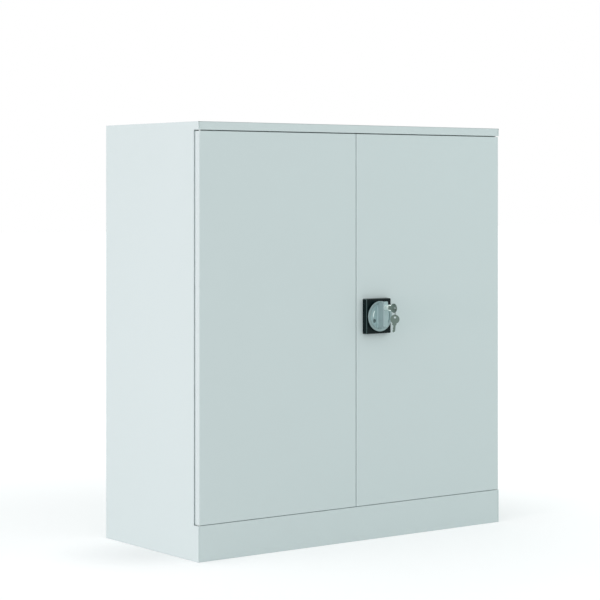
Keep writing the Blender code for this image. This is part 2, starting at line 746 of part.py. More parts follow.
def lock_plate():
    """A hat-shaped plate over the drive disc that carries the back of the spindle."""
    outline = hat_outline(LOCK_X, PLATE_HALF_WIDTH, PLATE_FOOT, SHEET + SEAT_GAP,
                          PLATE_WEB_DEPTH + PLATE_SHEET, PLATE_SHEET)
    plate = prism(outline, "Z", LOCK_Z - PLATE_HALF_HEIGHT, LOCK_Z + PLATE_HALF_HEIGHT)
    bore = cylinder(SPINDLE_BORE_RADIUS, "Y", (LOCK_X, 0, LOCK_Z), DISC_DEPTH, CAM_DEPTH, ROUND_SIDES)
    return cut(plate, bore, screw_holes(0, OVERRUN))


def rod_guide(side):
    """A nylon block on the door sheet that a lock rod slides in. side is 1 up, -1 down."""
    x = LOCK_X + side * ROD_SIDE
    edge = DOOR_TOP - GUIDE_FROM_EDGE if side > 0 else DOOR_BOTTOM + GUIDE_FROM_EDGE
    end = edge - side * GUIDE_HEIGHT
    half = GUIDE_WIDTH / 2
    near = SHEET + SEAT_GAP
    block = box((x - half, near, min(edge, end)), (x + half, near + GUIDE_WIDTH, max(edge, end)))
    bore = cylinder(ROD_RADIUS + SEAT_GAP, "Z", (x, ROD_DEPTH, 0), min(edge, end) - OVERRUN,
                    max(edge, end) + OVERRUN, SMALL_SIDES)
    return cut(block, bore)


def lock_rod(side):
    """A lock rod with a slotted end that a crank pin moves. side is 1 for the upper rod."""
    x = LOCK_X + side * ROD_SIDE
    pin_z = LOCK_Z - side * ROD_PIN_DROP
    tip = DOOR_TOP - ROD_END_INSET if side > 0 else DOOR_BOTTOM + ROD_END_INSET
    sweep = CRANK_RADIUS * (1 - math.cos(CRANK_START)) / 2
    half_slot = sweep + CRANK_PIN_RADIUS + SLOT_PLAY
    lift = CRANK_PIN_RADIUS + SLOT_LIFT
    half_x = half_slot + ROD_TAB_WALL
    half_z = lift + ROD_TAB_WALL
    near = ROD_DEPTH - ROD_TAB_THICKNESS / 2
    far = ROD_DEPTH + ROD_TAB_THICKNESS / 2
    start = pin_z + side * (half_z - ROD_TAB_WALL / 2)
    bar = cylinder(ROD_RADIUS, "Z", (x, ROD_DEPTH, 0), min(start, tip), max(start, tip), SMALL_SIDES)
    tab = box((x - half_x, near, pin_z - half_z), (x + half_x, far, pin_z + half_z))
    slot = box((x - half_slot, near - OVERRUN, pin_z - lift), (x + half_slot, far + OVERRUN, pin_z + lift))
    return cut(joined(tab, bar), slot)


def square_bore(start, end):
    """A cutter for the square of the spindle."""
    half = SPINDLE_SIDE / 2 + SEAT_GAP
    return box((LOCK_X - half, start, LOCK_Z - half), (LOCK_X + half, end, LOCK_Z + half))


def handle_knob():
    """The dished disc, narrower behind, with its grip bar: socketed for the spindle and bored."""
    back = -HOUSING_DEPTH - SEAT_GAP
    front = -KNOB_FRONT
    dish = front + KNOB_DISH_DEPTH
    inner = KNOB_RADIUS - KNOB_RIM
    profile = [
        (0, back), (KNOB_BACK_RADIUS, back), (KNOB_RADIUS, front + 2 * KNOB_EDGE),
        (KNOB_RADIUS, front + KNOB_EDGE), (KNOB_RADIUS - KNOB_EDGE, front), (inner + KNOB_EDGE, front),
        (inner, front + KNOB_EDGE), (inner - KNOB_EDGE, dish), (0, dish),
    ]
    disc = turned(profile, "Y", (LOCK_X, 0, LOCK_Z), FINE_SIDES)
    outline = [
        (-GRIP_ROOT, LOCK_Z - GRIP_BOTTOM + GRIP_ROOT_INSET), (-GRIP_TOE, LOCK_Z - GRIP_BOTTOM),
        (-GRIP_FRONT, LOCK_Z - GRIP_BOTTOM + GRIP_SLOPE), (-GRIP_FRONT, LOCK_Z + GRIP_TOP),
        (-GRIP_TOE, LOCK_Z + GRIP_TOP), (-GRIP_ROOT, LOCK_Z + GRIP_TOP - GRIP_ROOT_INSET),
    ]
    grip = prism(outline, "X", LOCK_X - GRIP_WIDTH / 2, LOCK_X + GRIP_WIDTH / 2)
    round_edges(grip, lambda edge: True, GRIP_EDGE, EDGE_STEPS)
    bore = cylinder(CYLINDER_RADIUS + SEAT_GAP, "Y", (LOCK_X, 0, KEY_Z), -GRIP_FRONT - OVERRUN,
                    -CYLINDER_BACK + SEAT_GAP, ROUND_SIDES)
    return cut(joined(disc, grip), square_bore(back - SOCKET_DEPTH, OVERRUN), bore)


def spindle():
    """The square spindle with a threaded end for the nut."""
    half = SPINDLE_SIDE / 2
    front = -HOUSING_DEPTH - SOCKET_DEPTH
    square_end = CAM_DEPTH + CAM_THICKNESS + SEAT_GAP
    end = square_end + NUT_HEIGHT + SHEET
    shaft = box((LOCK_X - half, front, LOCK_Z - half), (LOCK_X + half, square_end, LOCK_Z + half))
    thread = cylinder(THREAD_RADIUS, "Y", (LOCK_X, 0, LOCK_Z), square_end - SHEET, end, SMALL_SIDES)
    return joined(shaft, thread)


def crank_place(side):
    """A crank pin's centre in x and z at rest. side is 1 for the upper rod's pin."""
    return (LOCK_X + side * CRANK_RADIUS * math.cos(CRANK_START), LOCK_Z - side * ROD_PIN_DROP)


def drive_disc():
    """The disc on the spindle, with a crank pin for each rod."""
    end = DISC_DEPTH + DISC_THICKNESS
    disc = cylinder(CRANK_RADIUS + DISC_EDGE, "Y", (LOCK_X, 0, LOCK_Z), DISC_DEPTH, end, FINE_SIDES)
    pins = []
    for side in (-1, 1):
        x, z = crank_place(side)
        pins.append(cylinder(CRANK_PIN_RADIUS, "Y", (x, 0, z), DISC_DEPTH - PIN_STAND,
                             DISC_DEPTH + DISC_THICKNESS / 2, SMALL_SIDES))
    return cut(joined(disc, *pins), square_bore(DISC_DEPTH - OVERRUN, end + OVERRUN))


def latch_cam():
    """The latch tongue with its hub. It points up at rest, and turns behind the left door."""
    half = CAM_WIDTH / 2
    steps = SMALL_SIDES // 2
    arc = [math.pi * step / steps for step in range(steps + 1)]
    top = LOCK_Z + CAM_LENGTH - half
    outline = [(LOCK_X + half * math.cos(angle), top + half * math.sin(angle)) for angle in arc]
    outline += [(LOCK_X - half * math.cos(angle), LOCK_Z - half * math.sin(angle)) for angle in arc]
    end = CAM_DEPTH + CAM_THICKNESS
    tongue = prism(outline, "Y", CAM_DEPTH, end)
    hub = cylinder(CAM_HUB_RADIUS, "Y", (LOCK_X, 0, LOCK_Z), CAM_HUB_DEPTH, CAM_DEPTH + CAM_THICKNESS / 2,
                   ROUND_SIDES)
    return cut(joined(tongue, hub), square_bore(CAM_HUB_DEPTH - OVERRUN, end + OVERRUN))


def spindle_nut():
    """A hexagon nut that holds the latch cam on the spindle."""
    start = CAM_DEPTH + CAM_THICKNESS + 2 * SEAT_GAP
    end = start + NUT_HEIGHT
    corner = NUT_ACROSS / math.sqrt(3)
    outline = [
        (LOCK_X + corner * math.cos(math.tau * step / 6), LOCK_Z + corner * math.sin(math.tau * step / 6))
        for step in range(6)
    ]
    bore = cylinder(THREAD_RADIUS + SEAT_GAP, "Y", (LOCK_X, 0, LOCK_Z), start - OVERRUN, end + OVERRUN,
                    SMALL_SIDES)
    return cut(prism(outline, "Y", start, end), bore)


def lock_cylinder():
    """The cylinder body: a barrel in front of the grip, a narrower body in it, a bore for the plug."""
    back = -CYLINDER_BACK
    shoulder = -GRIP_FRONT - SEAT_GAP
    front = -BARREL_FRONT
    floor = -PLUG_BACK + SEAT_GAP
    bore = PLUG_RADIUS + SEAT_GAP
    profile = [
        (0, back), (CYLINDER_RADIUS, back), (CYLINDER_RADIUS, shoulder), (BARREL_RADIUS, shoulder),
        (BARREL_RADIUS, front + KNOB_EDGE), (BARREL_RADIUS - KNOB_EDGE, front), (bore, front),
        (bore, floor), (0, floor),
    ]
    return turned(profile, "Y", (LOCK_X, 0, KEY_Z), ROUND_SIDES)


def key_plug():
    """The turning plug with its keyway."""
    body = cylinder(PLUG_RADIUS, "Y", (LOCK_X, 0, KEY_Z), -BARREL_FRONT, -PLUG_BACK, ROUND_SIDES)
    half_x = KEY_THICKNESS / 2 + SEAT_GAP
    half_z = KEY_BLADE_WIDTH / 2 + SEAT_GAP
    end = KEY_BOW_FRONT - KEY_TIP_FROM_BOW - SEAT_GAP
    keyway = box((LOCK_X - half_x, -BARREL_FRONT - OVERRUN, KEY_Z - half_z),
                 (LOCK_X + half_x, -end, KEY_Z + half_z))
    return cut(body, keyway)


def key_solid():
    """A flat key about its bow's centre: length along +Y, width along Z, thickness along X."""
    neck = KEY_NECK_WIDTH / 2
    blade = KEY_BLADE_WIDTH / 2
    neck_angle = math.asin(neck / KEY_BOW_RADIUS)
    bow = []
    for step in range(ROUND_SIDES + 1):
        angle = neck_angle + (math.tau - 2 * neck_angle) * step / ROUND_SIDES
        bow.append((KEY_BOW_RADIUS * math.cos(angle), KEY_BOW_RADIUS * math.sin(angle)))
    shoulder = KEY_BOW_RADIUS + KEY_NECK_LENGTH
    tip = KEY_TIP_FROM_BOW
    outline = bow + [(shoulder, -neck), (shoulder, -blade), (tip - blade, -blade), (tip, 0)]
    first = tip - blade
    outline.append((first, blade))
    for step in range(KEY_CUT_COUNT):
        depth = blade - KEY_BLADE_WIDTH * KEY_CUT_DEPTH_SHARES[step]
        start = first - KEY_CUT_PITCH * step
        outline += [(start - KEY_CUT_PITCH / 4, depth), (start - KEY_CUT_PITCH * 3 / 4, depth),
                    (start - KEY_CUT_PITCH, blade)]
    outline += [(shoulder, blade), (shoulder, neck)]
    key = prism(outline, "X", -KEY_THICKNESS / 2, KEY_THICKNESS / 2)
    hole = cylinder(KEY_HOLE_RADIUS, "Z", (0, 0, 0), -KEY_THICKNESS, KEY_THICKNESS, SMALL_SIDES)
    turn(hole, math.pi / 2, "Y", (0, 0, 0))
    bmesh.ops.translate(hole, verts=hole.verts, vec=(0, -KEY_HOLE_OFFSET, 0))
    return cut(key, hole)


def lock_key():
    """The key in the plug, its bow upright in the plane of the keyway."""
    key = key_solid()
    bmesh.ops.translate(key, verts=key.verts, vec=(LOCK_X, -KEY_BOW_FRONT, KEY_Z))
    return key


def key_ring():
    """A wire ring through both keys' holes, edge-on to someone who stands left of the cupboard."""
    profile = [
        (RING_RADIUS + RING_WIRE_RADIUS * math.cos(angle), RING_WIRE_RADIUS * math.sin(angle))
        for angle in (math.tau * step / WIRE_SIDES for step in range(WIRE_SIDES))
    ]
    ring = turned(profile, "Z", (0, 0, 0), ROUND_SIDES, ring=True)
    turn(ring, math.pi / 2, "Y", (0, 0, 0))
    turn(ring, -RING_TURN, "Z", (0, 0, 0))
    bmesh.ops.translate(ring, verts=ring.verts, vec=(LOCK_X, -KEY_HOLE_FRONT, RING_Z))
    return ring


def spare_key():
    """The second key, hanging from the ring with its blade down."""
    key = key_solid()
    bmesh.ops.translate(key, verts=key.verts, vec=(0, KEY_HOLE_OFFSET, 0))
    turn(key, -math.pi / 2, "X", (0, 0, 0))
    turn(key, math.pi / 2 - RING_TURN, "Z", (0, 0, 0))
    lean_axis = Vector((math.sin(RING_TURN), math.cos(RING_TURN), 0))
    turn(key, SPARE_LEAN, lean_axis, (0, 0, 0))
    bmesh.ops.translate(key, verts=key.verts, vec=(LOCK_X, -KEY_HOLE_FRONT, SPARE_HOLE_Z))
    return key


def build_cabinet(looks, root):
    """The carcass with its uprights, shelves, pins, washers and buffers."""
    coat = looks["powder_coat"]
    add_piece("left_side_panel", side_panel(-1), coat, root)
    add_piece("right_side_panel", side_panel(1), coat, root)
    add_piece("top_panel", top_panel(), coat, root)
    add_piece("plinth", plinth(), coat, root)
    add_piece("bottom_panel", bottom_panel(), coat, root)
    back = box((-INNER_HALF, BACK_FACE, 0), (INNER_HALF, CABINET_DEPTH, CABINET_HEIGHT - SHEET - SEAT_GAP))
    add_piece("back_panel", back, coat, root)
    for side, side_name in SIDES:
        for start, end_name in zip(upright_depths(), ("front", "rear")):
            add_piece(f"shelf_upright_{side_name}_{end_name}", shelf_upright(side, start), coat, root)
    for slot, name in ((LOWER_SHELF_SLOT, "lower"), (UPPER_SHELF_SLOT, "upper")):
        add_piece(f"{name}_shelf", shelf(slot), coat, root)
        for side, side_name in SIDES:
            for start, end_name in zip(upright_depths(), ("front", "rear")):
                clip = shelf_clip(slot, side, start)
                add_piece(f"{name}_shelf_clip_{side_name}_{end_name}", clip, looks["zinc"], root)
    for side, side_name in SIDES:
        add_piece(f"hinge_pin_{side_name}_top", hinge_pin(side, 1), looks["zinc"], root, smooth=True)
        add_piece(f"hinge_pin_{side_name}_bottom", hinge_pin(side, -1), looks["zinc"], root, smooth=True)
        add_piece(f"hinge_washer_{side_name}", hinge_washer(side), looks["nylon"], root, smooth=True)
        top = door_buffer(side, LIP_UNDERSIDE - STOP_RISE / 2)
        add_piece(f"door_buffer_{side_name}_top", top, looks["rubber"], root, smooth=True)
        bottom = door_buffer(side, PLINTH_HEIGHT + STOP_RISE / 2)
        add_piece(f"door_buffer_{side_name}_bottom", bottom, looks["rubber"], root, smooth=True)


def build_doors(looks, left, right):
    """Both doors with their stiffeners and bushes, and what the right one carries for the lock."""
    coat = looks["powder_coat"]
    nylon = looks["nylon"]
    outer = HALF_WIDTH - DOOR_INSET
    add_piece("left_door_panel", door_panel(-1, LEFT_MEETING), coat, left)
    add_piece("left_door_stiffener", door_stiffener((LEFT_MEETING - outer) / 2), coat, left)
    add_piece("right_door_panel", locking_door_panel(), coat, right)
    add_piece("right_door_stiffener", door_stiffener((RIGHT_MEETING + outer) / 2), coat, right)
    for door, (side, name) in zip((left, right), SIDES):
        add_piece(f"{name}_door_bush_top", door_bush(side, DOOR_TOP, -1), nylon, door, smooth=True)
        add_piece(f"{name}_door_bush_bottom", door_bush(side, DOOR_BOTTOM, 1), nylon, door, smooth=True)
    add_piece("lock_housing", lock_housing(), looks["black_housing"], right, smooth=True)
    corners = ("lower_left", "lower_right", "upper_left", "upper_right")
    for corner, (x, z) in zip(corners, screw_places()):
        add_piece(f"housing_screw_{corner}", housing_screw(x, z), looks["zinc"], right, smooth=True)
    add_piece("lock_plate", lock_plate(), looks["zinc"], right)
    add_piece("upper_rod_guide", rod_guide(1), nylon, right)
    add_piece("lower_rod_guide", rod_guide(-1), nylon, right)


def build_lock(looks, right):
    """The handle and all that turns or slides with it, under the right door's empty."""
    zinc = looks["zinc"]
    handle = add_pivot("handle_pivot", (LOCK_X, -HOUSING_DEPTH, LOCK_Z), right)
    add_piece("handle_knob", handle_knob(), looks["satin_handle"], handle, smooth=True)
    add_piece("lock_cylinder", lock_cylinder(), looks["satin_handle"], handle, smooth=True)
    add_piece("spindle", spindle(), zinc, handle)
    add_piece("drive_disc", drive_disc(), zinc, handle, smooth=True)
    add_piece("latch_cam", latch_cam(), zinc, handle)
    add_piece("spindle_nut", spindle_nut(), zinc, handle)
    for side, name in ((1, "upper"), (-1, "lower")):
        tip = DOOR_TOP - ROD_END_INSET if side > 0 else DOOR_BOTTOM + ROD_END_INSET
        rod = add_pivot(f"{name}_rod_guide_line", (LOCK_X + side * ROD_SIDE, ROD_DEPTH, tip), right)
        add_piece(f"{name}_lock_rod", lock_rod(side), zinc, rod, smooth=True)
    return handle


def build_keys(looks, handle):
    """The plug in the cylinder, the key in it, the ring and the spare key."""
    plug = add_pivot("plug_pivot", (LOCK_X, -BARREL_FRONT, KEY_Z), handle)
    add_piece("key_plug", key_plug(), looks["satin_handle"], plug, smooth=True)
    key = add_pivot("key_slide_line", (LOCK_X, -KEY_BOW_FRONT, KEY_Z), plug)
    add_piece("lock_key", lock_key(), looks["key_metal"], key)
    ring = add_pivot("ring_pivot", (LOCK_X, -KEY_HOLE_FRONT, KEY_Z), key)
    add_piece("key_ring", key_ring(), looks["zinc"], ring, smooth=True)
    spare = add_pivot("spare_key_pivot", (LOCK_X, -KEY_HOLE_FRONT, SPARE_HOLE_Z), ring)
    add_piece("spare_key", spare_key(), looks["key_metal"], spare)


def centre_on_floor(root):
    """Move the root along Y so that the origin is under the middle of all the pieces."""
    bpy.context.view_layer.update()
    depths = [
        (piece.matrix_world @ vert.co).y
        for piece in bpy.data.objects if piece.type == "MESH" for vert in piece.data.vertices
    ]
    root.location.y -= (min(depths) + max(depths)) / 2
    bpy.context.view_layer.update()


def main():
    """Build the cupboard."""
    clear_scene()
    looks = make_materials()
    root = add_pivot("cabinet_origin", (0, 0, 0))
    build_cabinet(looks, root)
    left = add_pivot("left_door_pivot", (-PIVOT_X, PIVOT_DEPTH, 0), root)
    right = add_pivot("right_door_pivot", (PIVOT_X, PIVOT_DEPTH, 0), root)
    build_doors(looks, left, right)
    handle = build_lock(looks, right)
    build_keys(looks, handle)
    centre_on_floor(root)


main()
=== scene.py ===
"""A low two-door steel storage cupboard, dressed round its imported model.

Metres, +Z up, doors towards -Y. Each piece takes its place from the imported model's boxes.
The panel in the 3D view's sidebar has a button for each group of pieces, and their settings.
"""

import json
import math

import bmesh
import bpy
import numpy as np
from mathutils import Matrix, Vector


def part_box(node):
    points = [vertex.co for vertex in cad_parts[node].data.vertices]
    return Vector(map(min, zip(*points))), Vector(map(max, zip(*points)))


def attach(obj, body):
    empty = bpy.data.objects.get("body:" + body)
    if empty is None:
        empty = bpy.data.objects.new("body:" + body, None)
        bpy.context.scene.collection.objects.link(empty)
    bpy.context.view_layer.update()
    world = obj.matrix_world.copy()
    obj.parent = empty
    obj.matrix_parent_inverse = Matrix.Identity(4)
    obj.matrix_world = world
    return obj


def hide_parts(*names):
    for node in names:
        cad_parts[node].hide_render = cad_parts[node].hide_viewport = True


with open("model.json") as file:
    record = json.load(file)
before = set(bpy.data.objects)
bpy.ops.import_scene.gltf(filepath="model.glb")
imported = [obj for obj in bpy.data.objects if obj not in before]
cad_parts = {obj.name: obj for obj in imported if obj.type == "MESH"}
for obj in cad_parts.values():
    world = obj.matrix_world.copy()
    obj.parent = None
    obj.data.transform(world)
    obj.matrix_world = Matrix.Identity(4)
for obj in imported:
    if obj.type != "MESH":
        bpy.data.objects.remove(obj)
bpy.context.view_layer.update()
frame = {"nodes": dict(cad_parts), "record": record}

bl_info = {
    "name": "Steel storage cupboard",
    "version": (1, 0, 0),
    "blender": (4, 5, 0),
    "location": "3D View > Sidebar > Cupboard",
    "description": "Dresses a packed two-door steel cupboard with sheets, lock, keys and finishes",
    "category": "Add Mesh",
}

# Sheet metal
SHEET = 0.001
DOOR_RETURN = 0.016
FLAT_ANGLE = math.radians(1)
CREASE_ANGLE = math.radians(30)
MERGE = 0.000002
BEND_STEPS = 6
BORE_OVERRUN = 0.003
BUSH_FLANGE = 0.001
ROD_CLEARANCE = 0.0006
BOSS_HOLE_RADIUS = 0.009
SCREW_HOLE_RADIUS = 0.0023

# Rounding of small fittings
FINE_EASE = 0.0002
PLAIN_EASE = 0.0003

# Lock housing
HOUSING_DRAFT = 0.0006

# Turn handle: backs, skirt, fronts, floor and root are counted forwards from the door's face
DISC_BACK = 0.0143
DISC_BACK_RADIUS = 0.031
DISC_SKIRT = 0.0186
DISC_FRONT = 0.0205
DISH_FLOOR = 0.018
RIM_WIDTH = 0.007
DISC_EDGE = 0.001
GRIP_WIDTH = 0.0135
GRIP_FRONT = 0.042
GRIP_ROOT = 0.0176
GRIP_FOOT_INSET = 0.006
GRIP_FOOT_RISE = 0.006
GRIP_TOP = 0.0365
GRIP_BOTTOM = 0.0355
GRIP_SLOPE = 0.0105
GRIP_CORNER_SHARE = 0.45
DIMPLE_RADIUS = 0.0046
DIMPLE_DEPTH = 0.0032
DIMPLE_ASIDE = -0.0168
DIMPLE_RISE = -0.0107
BEAD_ORBIT = 0.0200
BEAD_RADIUS = 0.0017
BEAD_HEIGHT = 0.0011
BEAD_START = 135
BEAD_END = 187
BEAD_TIP = 0.02
BEAD_SIDES = 16

# Lock cylinder, its back counted like the handle's, and keys
BARREL_BACK = 0.0422
BARREL_RADIUS = 0.0075
BARREL_BORE = 0.0048
BARREL_CHAMFER = 0.0009
KEY_THICKNESS = 0.002
KEY_BOW_RADIUS = 0.011
KEY_HOLE_RADIUS = 0.00275
KEY_HOLE_OFFSET = 0.0045
KEY_NECK_WIDTH = 0.010
KEY_NECK_LENGTH = 0.003
KEY_BLADE_WIDTH = 0.007
KEY_BLADE_LENGTH = 0.018
KEY_CUT_PITCH = 0.0028
KEY_CUT_DEPTHS = (0.0014, 0.0022, 0.0010, 0.0020, 0.0014)
KEY_CUT_SHARES = (0.3, 0.7)
KEY_GROOVE_WIDTH = 0.0013
KEY_GROOVE_CORNER = KEY_GROOVE_WIDTH / 8
KEY_GROOVE_DEPTH = 0.00045
KEY_PANEL_RADIUS = 0.0052
KEY_PANEL_DEPTH = 0.00018
RING_RADIUS = 0.0095
RING_TURN = math.radians(36.9)
RING_START = math.radians(100)
RING_CUT = math.radians(12)
WIRE_SIDES = 12
WIRE_SHARE = 0.46
SPARE_LEAN = math.radians(6)
SPARE_SEAT_GAP = 0.0003

# Counts
FINE_SIDES = 96
ROUND_SIDES = 48
CORNER_STEPS = 7
FOLD_SEGMENTS = 3
KEY_SEGMENTS = 2

# Finishes: the detail of each noise, the slow one's cells a metre, and the shares of the
# roughness that it spans
PEEL_DETAIL = 2.0
STREAK_DETAIL = 4.0
SLOW_DETAIL = 3.0
COAT_CLOUD = 7.0
COAT_GLOSS = (0.92, 1.08)
METAL_WEAR = 60.0
METAL_GLOSS = (0.75, 1.3)
GRAIN_OUTPUTS = {"Colour": "Color", "Roughness": "Float", "Normal": "Vector"}

# Floor: its half width and roughness, and how far from the left foot its two lifts reach
FLOOR_HALF = 30.0
FLOOR_ROUGHNESS = 0.9
# Painted shadow: the floor's white lift is least by the left foot and grows away from it
FOOT_SHADOW_CENTRE = (-0.5, 0.0, 0.0)
FOOT_SHADOW_REACH = 0.28
FAR_REACH = (0.6, 2.3)

# Light: each lamp's colour, place, point looked at and side length, and the studio's colours
SIDE_LAMP = ((1, 0.68, 0.76), (-3.8, -0.8, 0.6), (0, 0, 0.4), 0.9)
FRONT_LAMP = ((0.97, 1, 1), (2.0, -2.3, 2.5), (0.2, 0, 0.8), 2.0)
STUDIO_TINT = (0.965, 1, 1, 1)
WHITE = (1, 1, 1, 1)

# Camera, from the edges of the carcass in the photograph
CAMERA_PLACE = (-2.96788, -3.88035, 0.8443)
CAMERA_TURN = (math.radians(90), 0, math.radians(-36.9095))
CAMERA_LENS = 118.783
CAMERA_SHIFT_Y = -0.18359


class SheetSettings(bpy.types.PropertyGroup):
    """Sizes and colour of the folded sheets."""

    coat_colour: bpy.props.FloatVectorProperty(
        name="Coat colour", description="Powder coat on every sheet", subtype="COLOR",
        size=3, min=0, max=1, default=(0.634, 0.728, 0.726),
    )
    bend_radius: bpy.props.FloatProperty(
        name="Bend radius", description="Outer radius of the doors' folds", unit="LENGTH",
        min=0.0011, max=0.003, default=0.0014,
    )
    carcass_bend: bpy.props.FloatProperty(
        name="Carcass bend", description="Outer radius of the carcass's folds", unit="LENGTH",
        min=0.0003, max=0.0008, default=0.0007,
    )
    edge_ease: bpy.props.FloatProperty(
        name="Edge ease", description="Rounding of a cut edge under its coat", unit="LENGTH",
        min=0.00005, max=0.0002, default=0.0002,
    )


class LockSettings(bpy.types.PropertyGroup):
    """Sizes and colours of the housing and the turn handle."""

    housing_colour: bpy.props.FloatVectorProperty(
        name="Housing colour", description="Moulded cover round the handle", subtype="COLOR",
        size=3, min=0, max=1, default=(0.002, 0.009, 0.0095),
    )
    casting_colour: bpy.props.FloatVectorProperty(
        name="Handle colour", description="Satin silver of the turn handle", subtype="COLOR",
        size=3, min=0, max=1, default=(0.35, 0.47, 0.475),
    )
    # Painted light: the dish is made lighter against the shade of the grip bar and the cove
    dish_tone: bpy.props.FloatProperty(
        name="Dish tone", description="Lightness of the polished dish beside the grip bar's",
        min=0, max=2, default=1.18,
    )
    rim_tone: bpy.props.FloatProperty(
        name="Rim tone", description="Lightness of the disc's rim beside the grip bar's",
        min=0, max=2, default=0.82,
    )
    # Painted shade: the blind hole and the skirt behind the dish's floor are made darker
    sunk_tone: bpy.props.FloatProperty(
        name="Sunk tone", description="Lightness of the blind hole and the skirt, left as cast",
        min=0, max=1, default=0.6,
    )
    # Colour of the highlight painted along the crest of the housing's left front edge
    rub_colour: bpy.props.FloatVectorProperty(
        name="Rub colour", description="Crest of the housing's rubbed edge", subtype="COLOR",
        size=3, min=0, max=1, default=(0.083, 0.139, 0.137),
    )
    housing_corner: bpy.props.FloatProperty(
        name="Housing corner", description="Corner radius of the housing seen from the front",
        unit="LENGTH", min=0.001, max=0.01, default=0.0034,
    )
    housing_edge: bpy.props.FloatProperty(
        name="Housing edge", description="Rounding of the housing's front edge", unit="LENGTH",
        min=0.0005, max=0.004, default=0.0020,
    )
    grip_edge: bpy.props.FloatProperty(
        name="Grip edge", description="Rounding of the grip bar's front edge", unit="LENGTH",
        min=0.0005, max=0.004, default=0.0017,
    )
    grip_fillet: bpy.props.FloatProperty(
        name="Grip fillet", description="Fillet where the grip bar meets the dish", unit="LENGTH",
        min=0.0005, max=0.004, default=0.0009,
    )


class KeySettings(bpy.types.PropertyGroup):
    """Sizes and colour of the keys and their ring."""

    key_colour: bpy.props.FloatVectorProperty(
        name="Key colour", description="Dull nickel on the keys", subtype="COLOR",
        size=3, min=0, max=1, default=(0.135, 0.190, 0.165),
    )
    key_ease: bpy.props.FloatProperty(
        name="Key edge", description="Rounding of the keys' edges", unit="LENGTH",
        min=0.00005, max=0.0005, default=0.00025,
    )
    wire_width: bpy.props.FloatProperty(
        name="Ring wire width", description="Half of the ring wire's width across the ring",
        unit="LENGTH", min=0.0002, max=0.001, default=0.0006,
    )
    wire_pitch: bpy.props.FloatProperty(
        name="Ring pitch", description="Distance between the ring's two turns", unit="LENGTH",
        min=0.0003, max=0.002, default=0.00066,
    )


class StageSettings(bpy.types.PropertyGroup):
    """Floor and light."""

    floor_colour: bpy.props.FloatVectorProperty(
        name="Floor colour", description="Pale floor", subtype="COLOR",
        size=3, min=0, max=1, default=(0.74, 0.75, 0.75),
    )
    # Painted shade: less white than far away, so the floor round the cupboard reads darker
    floor_lift: bpy.props.FloatProperty(
        name="Floor lift", description="White added near the cupboard, for the camera",
        min=0, max=1, default=0.322,
    )
    # Painted contact shadow: the least white, at the cupboard's left foot
    foot_lift: bpy.props.FloatProperty(
        name="Foot lift", description="White added at the cupboard's left foot, for the camera",
        min=0, max=1, default=0.17,
    )
    far_lift: bpy.props.FloatProperty(
        name="Far floor lift", description="White added far away, for the camera",
        min=0, max=1, default=0.50,
    )
    ambient: bpy.props.FloatProperty(
        name="Ambient light", description="Strength of the even studio light",
        min=0, max=2, default=0.86,
    )
    side_bias: bpy.props.FloatProperty(
        name="Side bias", description="How much lighter the studio is on the left",
        min=0, max=0.8, default=0.47,
    )
    side_lamp: bpy.props.FloatProperty(
        name="Side lamp", description="Power of the broad lamp on the left", unit="POWER",
        min=0, max=500, default=25,
    )
    front_lamp: bpy.props.FloatProperty(
        name="Front lamp", description="Power of the broad lamp in front", unit="POWER",
        min=0, max=500, default=14,
    )


def grain_group(name, inputs):
    """A new shader node group for a grain, what comes into it, and what goes out."""
    tree = bpy.data.node_groups.new(name, "ShaderNodeTree")
    for way, sockets in (("INPUT", inputs), ("OUTPUT", GRAIN_OUTPUTS)):
        for label, kind in sockets.items():
            tree.interface.new_socket(label, in_out=way, socket_type=f"NodeSocket{kind}")
    into = tree.nodes.new("NodeGroupInput").outputs
    return tree, into, tree.nodes.new("NodeGroupOutput").inputs


def feed(tree, socket, value):
    """Link a socket to another socket, or set it to a plain value."""
    if isinstance(value, bpy.types.NodeSocket):
        tree.links.new(value, socket)
    else:
        socket.default_value = value


def output_of(tree, kind, output, feeds, **settings):
    """An output of a new node, whose settings are made before its inputs are fed."""
    node = tree.nodes.new(f"ShaderNode{kind}")
    for label, value in settings.items():
        setattr(node, label, value)
    for label, value in feeds.items():
        feed(tree, node.inputs[label], value)
    return node.outputs[output]


def place_on(tree):
    """The place on the piece, in its own coordinates."""
    return tree.nodes.new("ShaderNodeTexCoord").outputs["Object"]


def axes_of(tree, vector):
    """A vector's X, Y and Z."""
    node = tree.nodes.new("ShaderNodeSeparateXYZ")
    tree.links.new(vector, node.inputs[0])
    return node.outputs


def noise(tree, vector, scale, detail):
    """A noise texture on a vector. scale is a socket or a number of cells a metre."""
    feeds = {"Vector": vector, "Scale": scale, "Detail": detail}
    return output_of(tree, "TexNoise", "Fac", feeds)


def combined(tree, operation, first, second):
    """Two values put together by a Math node."""
    return output_of(tree, "Math", "Value", {0: first, 1: second}, operation=operation)


def spread(tree, value, low, high):
    """A 0 to 1 value mapped to between two sockets or numbers."""
    feeds = {"Value": value, "To Min": low, "To Max": high}
    return output_of(tree, "MapRange", "Result", feeds)


def reach(tree, distance, start, end, low, high):
    """A value that eases from low to high between two distances."""
    feeds = {"Value": distance, "From Min": start, "From Max": end, "To Min": low, "To Max": high}
    return output_of(tree, "MapRange", "Result", feeds, interpolation_type="SMOOTHSTEP")


def mixed(tree, factor, first, second):
    """Two colours blended by a factor."""
    feeds = {"Factor": factor, "A": first, "B": second}
    return output_of(tree, "Mix", "Result", feeds, data_type="RGBA")


def shaded(tree, colour, value):
    """A colour times a grey value."""
    feeds = {0: colour, "Scale": value}
    return output_of(tree, "VectorMath", "Vector", feeds, operation="SCALE")


def bumped(tree, height, distance):
    """A normal from a height and a distance socket in metres."""
    return output_of(tree, "Bump", "Normal", {"Height": height, "Distance": distance})


